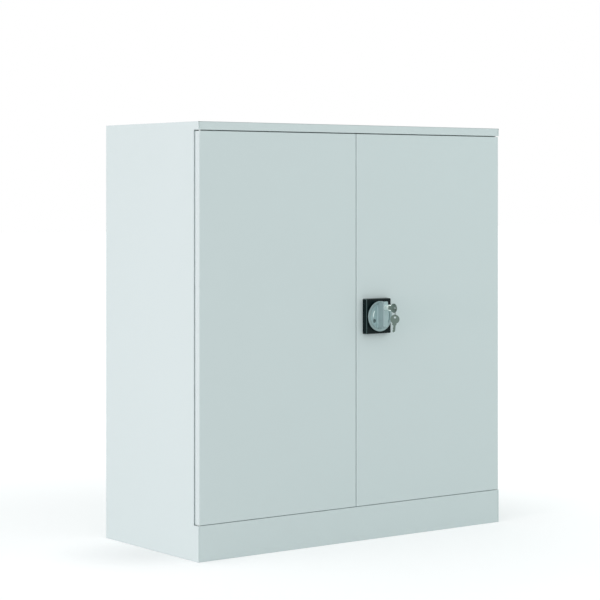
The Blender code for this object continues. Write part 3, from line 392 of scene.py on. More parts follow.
def vary(tree, into, out, fine, slow, swing, gloss):
    """What a grain group gives: its colour times two factors from 1 - swing to 1 + swing, one from
    each noise, its roughness times a factor from the slow noise, and a normal from the fine one."""
    low = combined(tree, "SUBTRACT", 1.0, swing)
    high = combined(tree, "ADD", 1.0, swing)
    tint = combined(tree, "MULTIPLY", spread(tree, fine, low, high), spread(tree, slow, low, high))
    uneven = combined(tree, "MULTIPLY", into["Roughness"], spread(tree, slow, *gloss))
    tree.links.new(shaded(tree, into["Colour"], tint), out["Colour"])
    tree.links.new(uneven, out["Roughness"])
    tree.links.new(bumped(tree, fine, into["Depth"]), out["Normal"])


def coat_grain():
    """Group for coats and mouldings: a fine orange peel, a faint mottle and a slightly uneven
    gloss."""
    tree, into, out = grain_group("coat_grain", {
        "Colour": "Color", "Grain": "Float", "Mottle": "Float", "Roughness": "Float",
        "Depth": "Float",
    })
    place = place_on(tree)
    peel = noise(tree, place, into["Grain"], PEEL_DETAIL)
    cloud = noise(tree, place, COAT_CLOUD, SLOW_DETAIL)
    vary(tree, into, out, peel, cloud, into["Mottle"], COAT_GLOSS)
    return tree


def metal_grain():
    """Group for bare metals: streaks stretched along one direction, worn gloss and fine
    scratches."""
    tree, into, out = grain_group("metal_grain", {
        "Colour": "Color", "Stretch": "Vector", "Grain": "Float", "Streak": "Float",
        "Roughness": "Float", "Depth": "Float",
    })
    place = place_on(tree)
    feeds = {0: place, 1: into["Stretch"]}
    pulled = output_of(tree, "VectorMath", "Vector", feeds, operation="MULTIPLY")
    streaks = noise(tree, pulled, into["Grain"], STREAK_DETAIL)
    wear = noise(tree, place, METAL_WEAR, SLOW_DETAIL)
    vary(tree, into, out, streaks, wear, into["Streak"], METAL_GLOSS)
    return tree


def finish(name, group_maker, values, metallic=0.0, specular=0.5, toned=None):
    """A Principled material whose colour, roughness and normal come from a grain group. toned, if
    given, changes the colour from place to place."""
    if name in bpy.data.materials:
        return bpy.data.materials[name]
    group = bpy.data.node_groups.get(group_maker.__name__) or group_maker()
    material = bpy.data.materials.new(name)
    material.use_nodes = True
    tree = material.node_tree
    shader = tree.nodes["Principled BSDF"]
    grain = tree.nodes.new("ShaderNodeGroup")
    grain.node_tree = group
    for label, value in values.items():
        grain.inputs[label].default_value = value
    colour = grain.outputs["Colour"]
    tree.links.new(toned(tree, colour) if toned else colour, shader.inputs["Base Color"])
    for label in ("Roughness", "Normal"):
        tree.links.new(grain.outputs[label], shader.inputs[label])
    shader.inputs["Metallic"].default_value = metallic
    shader.inputs["Specular IOR Level"].default_value = specular
    return material


def powder_coat():
    """Matt powder coat, light grey-green."""
    values = {"Colour": (*bpy.context.scene.cupboard_sheet.coat_colour, 1), "Grain": 620.0,
              "Mottle": 0.008, "Roughness": 0.46, "Depth": 0.00006}
    return finish("powder_coat_finish", coat_grain, values, specular=0.35)


def rubbed_edge(tree, colour):
    """A painted highlight: the colour turns to the highlight colour and back over the rounding
    of the housing's left front edge."""
    lock = bpy.context.scene.cupboard_lock
    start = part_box("lock_housing")[0].x + HOUSING_DRAFT
    crest = start + lock.housing_edge / 2
    across = axes_of(tree, place_on(tree))["X"]
    rising = reach(tree, across, start, crest, 0, 1)
    falling = reach(tree, across, crest, start + lock.housing_edge, 1, 0)
    # Painted highlight, strongest at the crest of the edge's rounding
    highlight_mask = combined(tree, "MULTIPLY", rising, falling)
    return mixed(tree, highlight_mask, colour, (*lock.rub_colour, 1))


def black_moulding():
    """Black moulded plastic with a fine spark-eroded grain, and a highlight painted along one edge.
    """
    values = {"Colour": (*bpy.context.scene.cupboard_lock.housing_colour, 1), "Grain": 1900.0,
              "Mottle": 0.12, "Roughness": 0.26, "Depth": 0.00001}
    return finish("black_moulding_finish", coat_grain, values, specular=0.11, toned=rubbed_edge)


def natural_nylon():
    """Milky nylon."""
    values = {"Colour": (0.74, 0.73, 0.68, 1), "Grain": 400.0, "Mottle": 0.02, "Roughness": 0.5,
              "Depth": 0.00003}
    return finish("natural_nylon_finish", coat_grain, values, specular=0.4)


def black_rubber():
    """Matt rubber."""
    values = {"Colour": (0.02, 0.02, 0.021, 1), "Grain": 1500.0, "Mottle": 0.1, "Roughness": 0.85,
              "Depth": 0.00006}
    return finish("black_rubber_finish", coat_grain, values, specular=0.25)


def casting_tones(tree, colour):
    """A colour with painted light and shade. The dish is painted lighter and the rim darker, told
    apart by the distance from the spindle's axis; the dish's lightness stands against the shade
    of the grip bar and the cove. The grip bar in front keeps the plain tone, and what lies behind
    the dish's floor, the blind hole and the skirt, is painted dark as shade."""
    lock = bpy.context.scene.cupboard_lock
    middle = middle_of("spindle")
    rim = disc_radius() - RIM_WIDTH
    front = door_face() - DISC_FRONT
    floor = door_face() - DISH_FLOOR
    place = axes_of(tree, place_on(tree))
    aside = combined(tree, "SUBTRACT", place["X"], middle.x)
    above = combined(tree, "SUBTRACT", place["Z"], middle.z)
    aside_squared = combined(tree, "MULTIPLY", aside, aside)
    above_squared = combined(tree, "MULTIPLY", above, above)
    squares = combined(tree, "ADD", aside_squared, above_squared)
    away = combined(tree, "SQRT", squares, 0)
    # Painted light on the dish, lighter than the rim
    face = reach(tree, away, rim - DISC_EDGE, rim, lock.dish_tone, lock.rim_tone)
    raised = reach(tree, place["Y"], front - DISC_EDGE, front, 1, 0)
    # Painted shade behind the dish's floor, in the blind hole and on the skirt
    sunk = reach(tree, place["Y"], floor, floor + DIMPLE_DEPTH / 2, 1, lock.sunk_tone)
    tone = combined(tree, "MULTIPLY", spread(tree, raised, face, 1.0), sunk)
    return shaded(tree, colour, tone)


def satin_casting():
    """Satin silver of the die-cast handle, with painted light on its dish and painted shade behind.
    """
    values = {"Colour": (*bpy.context.scene.cupboard_lock.casting_colour, 1), "Stretch": (1, 1, 1),
              "Grain": 1600.0, "Streak": 0.03, "Roughness": 0.5, "Depth": 0.00002}
    return finish("satin_casting_finish", metal_grain, values, metallic=0.5, toned=casting_tones)


def bright_nickel():
    """Bright nickel of the cylinder and the bead."""
    values = {"Colour": (0.84, 0.965, 0.93, 1), "Stretch": (1, 1, 1), "Grain": 1200.0,
              "Streak": 0.03, "Roughness": 0.30, "Depth": 0.00001}
    return finish("bright_nickel_finish", metal_grain, values, metallic=0.75)


def zinc_plate():
    """Bright zinc plating, with a rolled grain along the height."""
    values = {"Colour": (0.60, 0.62, 0.63, 1), "Stretch": (1, 1, 0.08), "Grain": 900.0,
              "Streak": 0.08, "Roughness": 0.34, "Depth": 0.00002}
    return finish("zinc_plate_finish", metal_grain, values, metallic=1.0)


def key_nickel():
    """Dull nickel over brass, with a brushed grain."""
    values = {"Colour": (*bpy.context.scene.cupboard_keys.key_colour, 1), "Stretch": (1, 1, 0.15),
              "Grain": 1500.0, "Streak": 0.10, "Roughness": 0.38, "Depth": 0.00002}
    return finish("key_nickel_finish", metal_grain, values, metallic=0.4)


def blued_steel():
    """Dark spring steel of the split ring."""
    values = {"Colour": (0.05, 0.062, 0.058, 1), "Stretch": (1, 1, 1), "Grain": 1400.0,
              "Streak": 0.05, "Roughness": 0.4, "Depth": 0.00001}
    return finish("blued_steel_finish", metal_grain, values, metallic=0.6)


def arc(centre, radius, start, end, steps=BEND_STEPS):
    """Points on a circle from one angle to another, in degrees, ends included."""
    angles = np.radians(np.linspace(start, end, steps + 1))
    return np.array(centre) + radius * np.column_stack((np.cos(angles), np.sin(angles)))


def rectangle(left, bottom, right, top):
    """A rectangle's corners, anticlockwise."""
    return [(left, bottom), (right, bottom), (right, top), (left, top)]


def stacked_rings(outline, corner, profile):
    """Rings of a convex outline, one for each (inset, height) of a profile.

    Each corner's centre is moved inwards along its mitre by the larger of the corner radius and
    the inset, and the rest of the radius, if any, is swept round it. Rings come out as an array of
    (rings, points, 3) with the height last.
    """
    outline = np.array(outline, float)
    profile = np.array(profile, float)
    edges = np.roll(outline, -1, axis=0) - outline
    lengths = np.linalg.norm(edges, axis=1)
    normals = np.column_stack((edges[:, 1], -edges[:, 0])) / lengths[:, None]
    before = np.roll(normals, 1, axis=0)
    mitres = -(before + normals) / (1 + np.sum(before * normals, axis=1))[:, None]
    starts = np.arctan2(before[:, 1], before[:, 0])
    sweeps = np.mod(np.arctan2(normals[:, 1], normals[:, 0]) - starts, math.tau)
    shares = np.linspace(0, 1, CORNER_STEPS)
    angles = starts[:, None] + sweeps[:, None] * shares[None, :]
    rays = np.stack((np.cos(angles), np.sin(angles)), axis=-1)
    insets = profile[:, 0]
    centres = outline[None] + np.maximum(corner, insets)[:, None, None] * mitres[None]
    radii = np.maximum(corner - insets, 0)
    points = centres[:, :, None, :] + radii[:, None, None, None] * rays[None]
    points = points.reshape(len(profile), -1, 2)
    heights = np.broadcast_to(profile[:, 1, None, None], (*points.shape[:2], 1))
    return np.concatenate((points, heights), axis=-1)


def turned_rings(profile, sides):
    """Rings of a profile of (radius, height) spun about the third axis."""
    profile = np.array(profile, float)
    angles = np.linspace(0, math.tau, sides, endpoint=False)
    rounds = profile[:, 0, None]
    heights = np.broadcast_to(profile[:, 1, None], (len(profile), sides))
    return np.stack((rounds * np.cos(angles), rounds * np.sin(angles), heights), axis=-1)


def swept_rings(path, across, along_axis, section):
    """A closed section carried along a path, with its first axis along across and its second
    along along_axis, both given for each point of the path."""
    section = np.array(section, float)
    offsets = across[:, None] * section[None, :, :1] + along_axis[:, None] * section[None, :, 1:]
    return path[:, None] + offsets


def shell(rings, caps=True):
    """Vertices and faces of a stack of closed rings, with or without a flat cap at each end."""
    rows, columns = rings.shape[:2]
    index = np.arange(rows * columns).reshape(rows, columns)
    here = index[:-1]
    above = index[1:]
    quads = np.stack((here, np.roll(here, -1, axis=1), np.roll(above, -1, axis=1), above), axis=-1)
    faces = quads.reshape(-1, 4).tolist()
    if caps:
        faces += [index[0, ::-1].tolist(), index[-1].tolist()]
    return rings.reshape(-1, 3), faces


def mesh_of(name, made):
    """A mesh from a shell, merged where points meet, with its faces turned outwards."""
    vertices, faces = made
    mesh = bpy.data.meshes.new(name)
    mesh.from_pydata(vertices.tolist(), [], faces)
    bm = bmesh.new()
    bm.from_mesh(mesh)
    bmesh.ops.remove_doubles(bm, verts=bm.verts, dist=MERGE)
    bmesh.ops.dissolve_degenerate(bm, dist=MERGE, edges=bm.edges)
    bmesh.ops.recalc_face_normals(bm, faces=bm.faces)
    bm.to_mesh(mesh)
    bm.free()
    return mesh


def bored(piece, *cutters):
    """Cut shells out of a piece's mesh."""
    tools = []
    for cutter in cutters:
        tool = bpy.data.objects.new("cutter", mesh_of("cutter", cutter))
        bpy.context.collection.objects.link(tool)
        modifier = piece.modifiers.new("bore", "BOOLEAN")
        modifier.operation = "DIFFERENCE"
        modifier.solver = "EXACT"
        modifier.object = tool
        tools.append(tool)
    graph = bpy.context.evaluated_depsgraph_get()
    mesh = bpy.data.meshes.new_from_object(piece.evaluated_get(graph), depsgraph=graph)
    piece.modifiers.clear()
    spent = [piece.data] + [tool.data for tool in tools]
    piece.data = mesh
    for tool in tools:
        bpy.data.objects.remove(tool)
    for old in spent:
        bpy.data.meshes.remove(old)


def along(rings, axis, centre=(0, 0, 0)):
    """Rings whose heights run along X, Y or Z, moved to a centre."""
    order = {"X": [2, 0, 1], "Y": [0, 2, 1], "Z": [0, 1, 2]}[axis]
    return rings[..., order] + np.array(centre, float)


def before_door(rings, centre):
    """Rings with heights counted back from the doors' front face, on an axis through a centre."""
    return along(rings, "Y", (centre.x, door_face(), centre.z))


def round_cutter(radius, axis, centre, start, end):
    """A plain round cutter between two places on its axis."""
    rings = turned_rings([(radius, start), (radius, end)], ROUND_SIDES)
    return shell(along(rings, axis, centre))


def add_piece(name, mesh, material, slot, body, *nodes):
    """Put a mesh in the scene with its finish, riding on a body in place of its CAD nodes."""
    mesh.materials.clear()
    mesh.materials.append(material)
    mesh.shade_smooth()
    mesh.set_sharp_from_angle(angle=CREASE_ANGLE)
    piece = bpy.data.objects.new(name, mesh)
    bpy.context.scene.collection.objects.link(piece)
    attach(piece, body)
    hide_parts(*nodes)
    return piece


def even_shading(piece):
    """Let large flat faces keep flat normals beside their rounded edges."""
    modifier = piece.modifiers.new("even shading", "WEIGHTED_NORMAL")
    modifier.keep_sharp = True


def eased(piece, method, width, segments):
    """A bevel on a piece's edges, with flat normals on the faces beside it."""
    bevel = piece.modifiers.new("eased edges", "BEVEL")
    bevel.limit_method = method
    bevel.width = width
    bevel.segments = segments
    bevel.harden_normals = True
    return bevel


def body_of(node):
    """The body that carries a CAD node."""
    bodies = frame["record"]["behaviour"]["bodies"]
    return next(name for name, members in bodies.items() if node in members)


def middle_of(node):
    """The middle of a CAD node's box."""
    low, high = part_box(node)
    return (low + high) / 2


def eased_copy(node, slot, material, bend, ease):
    """A CAD node's shape with round folds and eased cut edges, in its place.

    The outside of a fold is a convex sharp edge between two faces wider than two sheets. It gets
    the bend radius, and every other sharp edge gets the ease.
    """
    mesh = frame["nodes"][node].data.copy()
    bm = bmesh.new()
    bm.from_mesh(mesh)
    bmesh.ops.remove_doubles(bm, verts=bm.verts, dist=MERGE)
    bmesh.ops.dissolve_limit(bm, angle_limit=FLAT_ANGLE, verts=bm.verts, edges=bm.edges)
    weights = bm.edges.layers.float.new("bevel_weight_edge")
    widths = {face: 2 * face.calc_area() / face.calc_perimeter() for face in bm.faces}
    for edge in bm.edges:
        if len(edge.link_faces) != 2 or edge.calc_face_angle() < CREASE_ANGLE:
            continue
        wide = min(widths[face] for face in edge.link_faces) > 2 * SHEET
        fold = wide and edge.calc_face_angle_signed() > 0
        edge[weights] = 1 if fold else ease / bend
    bm.to_mesh(mesh)
    bm.free()
    piece = add_piece(f"{node}_piece", mesh, material, slot, body_of(node), node)
    eased(piece, "WEIGHT", bend, FOLD_SEGMENTS).use_clamp_overlap = False


def soft_copies(nodes, slot, material, ease):
    """Small fittings with every sharp edge eased alike."""
    for node in nodes:
        eased_copy(node, slot, material, ease, ease)


def folded_copies(nodes):
    """Folded and coated sheets."""
    sheet = bpy.context.scene.cupboard_sheet
    for node in nodes:
        eased_copy(node, "powder_coat", powder_coat(), sheet.carcass_bend, sheet.edge_ease)


def nodes_named(words):
    """Names of the CAD nodes that hold some words."""
    return sorted(name for name in frame["nodes"] if words in name)


def door_tray(side):
    """A door's folded tray.

    The door's rectangle is carried in along one profile of (inset, depth): round the front bend,
    down the return, round the rear bend to the end of the flange, and back inside at a sheet's
    distance. The front sheet's two faces close it.
    """
    low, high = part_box(f"{side}_door_panel")
    bend = bpy.context.scene.cupboard_sheet.bend_radius
    ease = bpy.context.scene.cupboard_sheet.edge_ease
    depth = high.y - low.y
    inner = bend - SHEET
    profile = np.concatenate((
        [(bend + DOOR_RETURN / 2, 0)],
        arc((bend, bend), bend, 270, 180),
        arc((bend, depth - bend), bend, 180, 90),
        [(DOOR_RETURN - ease, depth), (DOOR_RETURN, depth - ease),
         (DOOR_RETURN, depth - SHEET + ease), (DOOR_RETURN - ease, depth - SHEET)],
        arc((bend, depth - bend), inner, 90, 180),
        arc((bend, bend), inner, 180, 270),
        [(bend + DOOR_RETURN / 2, SHEET)],
    ))
    outline = rectangle(low.x, low.z, high.x, high.z)
    rings = along(stacked_rings(outline, bend, profile), "Y", (0, low.y, 0))
    name = f"{side}_door_tray"
    piece = add_piece(name, mesh_of(name, shell(rings)), powder_coat(), "powder_coat",
                      f"{side}_door", f"{side}_door_panel")
    cutters = [bush_hole(f"{side}_door_bush_{end}") for end in ("top", "bottom")]
    if side == "right":
        cutters += [rod_hole("upper_lock_rod", high.z), rod_hole("lower_lock_rod", low.z)]
        cutters += lock_holes(low.y)
    bored(piece, *cutters)
    piece.data.set_sharp_from_angle(angle=CREASE_ANGLE)
    even_shading(piece)


def bush_hole(node):
    """A cutter through a return for a door bush, whose flange is wider than its body."""
    low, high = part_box(node)
    centre = middle_of(node)
    return round_cutter((high.x - low.x) / 2 - BUSH_FLANGE, "Z", (centre.x, centre.y, 0),
                        low.z - BORE_OVERRUN, high.z + BORE_OVERRUN)


def rod_hole(node, level):
    """A cutter through a door's return at a level, round a lock rod."""
    low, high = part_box(node)
    return round_cutter((high.y - low.y) / 2 + ROD_CLEARANCE, "Z",
                        (rod_line(node), middle_of(node).y, 0),
                        level - BORE_OVERRUN, level + BORE_OVERRUN)


def rod_line(node):
    """X of a lock rod's bar: the middle of the points at its tip."""
    vertices = frame["nodes"][node].data.vertices
    points = np.empty(3 * len(vertices), np.float32)
    vertices.foreach_get("co", points)
    points = points.reshape(-1, 3).astype(float)
    tip = points[:, 2].max() if node.startswith("upper") else points[:, 2].min()
    at_tip = points[np.abs(points[:, 2] - tip) < SHEET]
    return float((at_tip[:, 0].min() + at_tip[:, 0].max()) / 2)


def lock_holes(face):
    """Cutters in the right door's sheet for the spindle boss and the four housing screws."""
    radii = {"spindle": BOSS_HOLE_RADIUS}
    radii.update((node, SCREW_HOLE_RADIUS) for node in nodes_named("housing_screw"))
    cutters = []
    for node, radius in radii.items():
        centre = middle_of(node)
        cutters.append(round_cutter(radius, "Y", (centre.x, face, centre.z),
                                    -BORE_OVERRUN, BORE_OVERRUN))
    return cutters


def door_face():
    """Y of the closed doors' front face."""
    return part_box("right_door_panel")[0].y


def disc_radius():
    """Radius of the handle's disc."""
    low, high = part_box("handle_knob")
    return (high.x - low.x) / 2


def housing_cover():
    """The moulded cover: its rounded rectangle narrows slightly from the door forwards, and its
    front edge turns through a quarter circle into the flat face."""
    lock = bpy.context.scene.cupboard_lock
    low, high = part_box("lock_housing")
    edge = lock.housing_edge
    front = arc((HOUSING_DRAFT + edge, edge), edge, 180, 270)
    profile = np.concatenate(([(0, high.y - low.y)], front, [(HOUSING_DRAFT + edge + edge, 0)]))
    outline = rectangle(low.x, low.z, high.x, high.z)
    rings = along(stacked_rings(outline, lock.housing_corner, profile), "Y", (0, low.y, 0))
    piece = add_piece("lock_housing_cover", mesh_of("lock_housing_cover", shell(rings)),
                      black_moulding(), "black_housing", "right_door", "lock_housing")
    even_shading(piece)


def handle_disc(centre):
    """The dished disc as a profile of (radius, depth in front of the door) spun about the spindle's
    axis: narrow back, a skirt that flares out to the rounded rim, and a cove down to the dish."""
    radius = disc_radius()
    inner = radius - RIM_WIDTH
    cove = DISC_FRONT - DISH_FLOOR - DISC_EDGE
    profile = np.concatenate((
        [(0, -DISC_BACK), (DISC_BACK_RADIUS, -DISC_BACK), (radius, -DISC_SKIRT)],
        arc((radius - DISC_EDGE, -DISC_FRONT + DISC_EDGE), DISC_EDGE, 0, -90),
        arc((inner + DISC_EDGE, -DISC_FRONT + DISC_EDGE), DISC_EDGE, -90, -180),
        arc((inner - cove, -DISH_FLOOR - cove), cove, 0, 90),
        [(inner - 2 * cove, -DISH_FLOOR), (0, -DISH_FLOOR)],
    ))
    return shell(before_door(turned_rings(profile, FINE_SIDES), centre), caps=False)


def grip_bar(centre):
    """The grip bar: its long rounded rectangle starts wide in a fillet on the dish, rises straight
    and turns over a rounded front edge. Its foot is shorter than the disc, and its lower end leans
    in towards the front."""
    lock = bpy.context.scene.cupboard_lock
    fillet = lock.grip_fillet
    edge = lock.grip_edge
    foot = arc((-fillet, -DISH_FLOOR - fillet), fillet, 90, 0)
    crown = arc((edge, -GRIP_FRONT + edge), edge, 180, 270)
    profile = np.concatenate(([(-fillet, -GRIP_ROOT)], foot, crown, [(2 * edge, -GRIP_FRONT)]))
    half = GRIP_WIDTH / 2
    outline = rectangle(-half, -GRIP_BOTTOM, half, GRIP_TOP)
    rings = stacked_rings(outline, half * GRIP_CORNER_SHARE, profile)
    rise = np.clip((-rings[..., 2] - DISC_FRONT) / (GRIP_FRONT - DISC_FRONT), 0, 1)
    lower = np.clip(-rings[..., 1] / GRIP_BOTTOM, 0, 1)
    inset = GRIP_FOOT_INSET * (1 - np.clip((-rings[..., 2] - DISH_FLOOR) / GRIP_FOOT_RISE, 0, 1))
    rings[..., 1] -= inset * np.clip(rings[..., 1] / GRIP_TOP, -1, 1)
    rings[..., 1] += GRIP_SLOPE * rise * lower
    return shell(before_door(rings, centre))


def polished_bead(centre):
    """The crescent bead in the dish: a flattened ellipse carried along an arc about the spindle,
    its size following the square root of a sine so that both ends close in a point."""
    steps = FINE_SIDES // 2
    angles = np.radians(np.linspace(BEAD_START, BEAD_END, steps))
    out = np.column_stack((np.cos(angles), np.zeros(steps), np.sin(angles)))
    forward = np.tile((0.0, -1.0, 0.0), (steps, 1))
    swell = np.sqrt(np.sin(np.linspace(BEAD_TIP, math.pi - BEAD_TIP, steps)))
    path = np.array((centre.x, door_face() - DISH_FLOOR, centre.z)) + BEAD_ORBIT * out
    turn = np.linspace(0, math.tau, BEAD_SIDES, endpoint=False)
    section = np.column_stack((BEAD_RADIUS * np.cos(turn), BEAD_HEIGHT * np.sin(turn)))
    rings = swept_rings(path, out * swell[:, None], forward * swell[:, None], section)
    return shell(rings)


def turn_handle():
    """The die-cast handle: disc and grip bar, with a small blind hole and a bead in the dish."""
    centre = middle_of("spindle")
    name = "turn_handle"
    disc = mesh_of(name, handle_disc(centre))
    piece = add_piece(name, disc, satin_casting(), "satin_handle", "handle", "handle_knob")
    hole = (centre.x + DIMPLE_ASIDE, door_face(), centre.z + DIMPLE_RISE)
    bored(piece, round_cutter(DIMPLE_RADIUS, "Y", hole, -DISH_FLOOR - BORE_OVERRUN,
                              -DISH_FLOOR + DIMPLE_DEPTH))
    piece.data.materials.append(bright_nickel())
    bm = bmesh.new()
    bm.from_mesh(piece.data)
    for label, made in (("grip_bar", grip_bar(centre)), ("bead", polished_bead(centre))):
        start = len(bm.faces)
        extra = mesh_of(label, made)
        bm.from_mesh(extra)
        bpy.data.meshes.remove(extra)
        bm.faces.ensure_lookup_table()
        for face in bm.faces[start:]:
            face.material_index = int(label == "bead")
    bm.to_mesh(piece.data)
    bm.free()
    piece.data.shade_smooth()
    piece.data.set_sharp_from_angle(angle=CREASE_ANGLE)
    even_shading(piece)


def cylinder_barrel():
    """The cylinder's barrel: a chamfered sleeve spun about the plug's axis, open for the plug."""
    centre = middle_of("key_plug")
    front = door_face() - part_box("key_plug")[0].y
    chamfer = BARREL_CHAMFER
    profile = np.concatenate((
        [(BARREL_BORE, -BARREL_BACK), (BARREL_RADIUS, -BARREL_BACK)],
        arc((BARREL_RADIUS - chamfer, -front + chamfer), chamfer, 0, -90),
        [(BARREL_BORE + chamfer / 2, -front), (BARREL_BORE, -front + chamfer / 2),
         (BARREL_BORE, -BARREL_BACK)],
    ))
    barrel = shell(before_door(turned_rings(profile, ROUND_SIDES), centre), caps=False)
    piece = add_piece("cylinder_barrel", mesh_of("cylinder_barrel", barrel), bright_nickel(),
                      "satin_handle", "handle", "lock_cylinder")
    even_shading(piece)


def key_outline():
    """Outline of a key about its bow's centre as (along, across): the bow's arc, the neck, and the
    blade with its cuts, each flat over the middle of its pitch, going round anticlockwise."""
    neck = KEY_NECK_WIDTH / 2
    blade = KEY_BLADE_WIDTH / 2
    open_angle = math.degrees(math.asin(neck / KEY_BOW_RADIUS))
    bow = arc((0, 0), KEY_BOW_RADIUS, open_angle, 360 - open_angle, ROUND_SIDES)
    shoulder = KEY_BOW_RADIUS + KEY_NECK_LENGTH
    tip = shoulder + KEY_BLADE_LENGTH
    lower = [(shoulder, -neck), (shoulder, -blade), (tip - blade, -blade), (tip, 0),
             (tip - blade, blade)]
    starts = tip - blade - KEY_CUT_PITCH * np.arange(len(KEY_CUT_DEPTHS))
    depths = blade - np.array(KEY_CUT_DEPTHS)
    cuts = np.stack((
        np.column_stack((starts - KEY_CUT_PITCH * KEY_CUT_SHARES[0], depths)),
        np.column_stack((starts - KEY_CUT_PITCH * KEY_CUT_SHARES[1], depths)),
        np.column_stack((starts - KEY_CUT_PITCH, np.full(len(starts), blade))),
    ), axis=1).reshape(-1, 2)
    return np.concatenate((bow, lower, cuts, [(shoulder, blade), (shoulder, neck)]))


def into_key(way, depth):
    """Heights, lowest first, of a cutter that goes to a depth into a key's face. way is the side
    that the face is on, -1 or 1."""
    half = KEY_THICKNESS / 2
    return sorted((way * (half - depth), way * (half + BORE_OVERRUN)))


def key_mesh(name):
    """A flat key about its bow's centre: length along +Y, width along Z, thickness along X, with a
    hole, a milled groove along the blade and a shallow round panel on each face."""
    outline = key_outline()
    half = KEY_THICKNESS / 2
    rings = np.stack([
        np.column_stack((np.full(len(outline), x), outline)) for x in (-half, half)
    ])
    holder = bpy.data.objects.new(name, mesh_of(name, shell(rings)))
    bpy.context.collection.objects.link(holder)
    cutters = [round_cutter(KEY_HOLE_RADIUS, "X", (0, -KEY_HOLE_OFFSET, 0), -half - BORE_OVERRUN,
                            half + BORE_OVERRUN)]
    start = KEY_BOW_RADIUS + KEY_NECK_LENGTH / 2
    end = KEY_BOW_RADIUS + KEY_NECK_LENGTH + KEY_BLADE_LENGTH + BORE_OVERRUN
    groove = rectangle(start, -KEY_GROOVE_WIDTH, end, 0)
    for way in (-1, 1):
        profile = [(0, height) for height in into_key(way, KEY_GROOVE_DEPTH)]
        cutters.append(shell(along(stacked_rings(groove, KEY_GROOVE_CORNER, profile), "X")))
        cutters.append(round_cutter(KEY_PANEL_RADIUS, "X", (0, KEY_HOLE_OFFSET, 0),
                                    *into_key(way, KEY_PANEL_DEPTH)))
    bored(holder, *cutters)
    mesh = holder.data
    bpy.data.objects.remove(holder)
    return mesh


def key_piece(name, place, body, node):
    """A key put in its place by a matrix, with eased edges."""
    mesh = key_mesh(name)
    mesh.transform(place)
    piece = add_piece(name, mesh, key_nickel(), "key_metal", body, node)
    ease = bpy.context.scene.cupboard_keys.key_ease
    eased(piece, "ANGLE", ease, KEY_SEGMENTS).angle_limit = CREASE_ANGLE


def key_hole_place():
    """The centre of the hole in the key that stands in the lock."""
    middle = middle_of("lock_key")
    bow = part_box("lock_key")[0].y + KEY_BOW_RADIUS
    return Vector((middle.x, bow - KEY_HOLE_OFFSET, middle.z))


def lock_key_piece():
    """The key in the lock, its bow upright."""
    hole = key_hole_place()
    place = Matrix.Translation(hole + Vector((0, KEY_HOLE_OFFSET, 0)))
    key_piece("key_in_lock", place, "lock_key", "lock_key")


def spare_key_piece():
    """The spare key, hung by its hole with the blade down and leaning a little."""
    hole = key_hole_place()
    ring_low, ring_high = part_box("key_ring")
    wire = (ring_high.z - ring_low.z) / 2 - RING_RADIUS
    drop = RING_RADIUS + KEY_HOLE_RADIUS - wire - SPARE_SEAT_GAP
    hole_z = middle_of("key_ring").z - drop
    lean_axis = Vector((math.sin(RING_TURN), math.cos(RING_TURN), 0))
    place = (
        Matrix.Translation((hole.x, hole.y, hole_z))
        @ Matrix.Rotation(SPARE_LEAN, 4, lean_axis)
        @ Matrix.Rotation(math.pi / 2 - RING_TURN, 4, "Z")
        @ Matrix.Rotation(-math.pi / 2, 4, "X")
        @ Matrix.Translation((0, KEY_HOLE_OFFSET, 0))
    )
    key_piece("spare_key_hanging", place, "spare_key", "spare_key")


def split_ring():
    """A split ring of two turns: a flat oval section carried twice round the circle, moving along
    the axis by one pitch, with both ends cut off."""
    keys = bpy.context.scene.cupboard_keys
    steps = 2 * FINE_SIDES
    angles = np.linspace(RING_START, RING_START + 2 * math.tau - RING_CUT, steps)
    shift = keys.wire_pitch * (np.linspace(0, 1, steps) - 0.5)
    out = np.column_stack((np.zeros(steps), np.cos(angles), np.sin(angles)))
    axis = np.tile((1.0, 0.0, 0.0), (steps, 1))
    path = RING_RADIUS * out + shift[:, None] * axis
    turn = np.linspace(0, math.tau, WIRE_SIDES, endpoint=False)
    thick = keys.wire_pitch * WIRE_SHARE
    section = np.column_stack((keys.wire_width * np.cos(turn), thick * np.sin(turn)))
    rings = swept_rings(path, out, axis, section)
    mesh = mesh_of("split_ring", shell(rings))
    centre = Matrix.Translation(middle_of("key_ring"))
    mesh.transform(centre @ Matrix.Rotation(-RING_TURN, 4, "Z"))
    add_piece("split_ring", mesh, blued_steel(), "zinc", "key_ring", "key_ring")


class CUPBOARD_OT_carcass(bpy.types.Operator):
    """Fold the side panels, the top, the plinth, the floor and the back"""

    bl_idname = "cupboard.carcass"
    bl_label = "Carcass sheets"

    def execute(self, context):
        sheets = ["top_panel", "plinth", "bottom_panel", "back_panel"]
        folded_copies(nodes_named("side_panel") + sheets)
        return {"FINISHED"}


class CUPBOARD_OT_shelves(bpy.types.Operator):
    """Fold the shelves and their slotted uprights, and hang the clips"""

    bl_idname = "cupboard.shelves"
    bl_label = "Shelves"

    def execute(self, context):
        folded_copies(["lower_shelf", "upper_shelf"] + nodes_named("shelf_upright"))
        soft_copies(nodes_named("shelf_clip"), "zinc", zinc_plate(), FINE_EASE)
        return {"FINISHED"}


class CUPBOARD_OT_doors(bpy.types.Operator):
    """Fold both door trays with their stiffeners"""

    bl_idname = "cupboard.doors"
    bl_label = "Doors"

    def execute(self, context):
        door_tray("left")
        door_tray("right")
        folded_copies(nodes_named("door_stiffener"))
        return {"FINISHED"}


class CUPBOARD_OT_hinge_fittings(bpy.types.Operator):
    """Pins, bushes, washers and buffers"""

    bl_idname = "cupboard.hinge_fittings"
    bl_label = "Hinge pins and buffers"

    def execute(self, context):
        soft_copies(nodes_named("hinge_pin"), "zinc", zinc_plate(), PLAIN_EASE)
        moulded = nodes_named("door_bush") + nodes_named("hinge_washer")
        soft_copies(moulded, "nylon", natural_nylon(), FINE_EASE)
        soft_copies(nodes_named("door_buffer"), "rubber", black_rubber(), PLAIN_EASE)
        return {"FINISHED"}


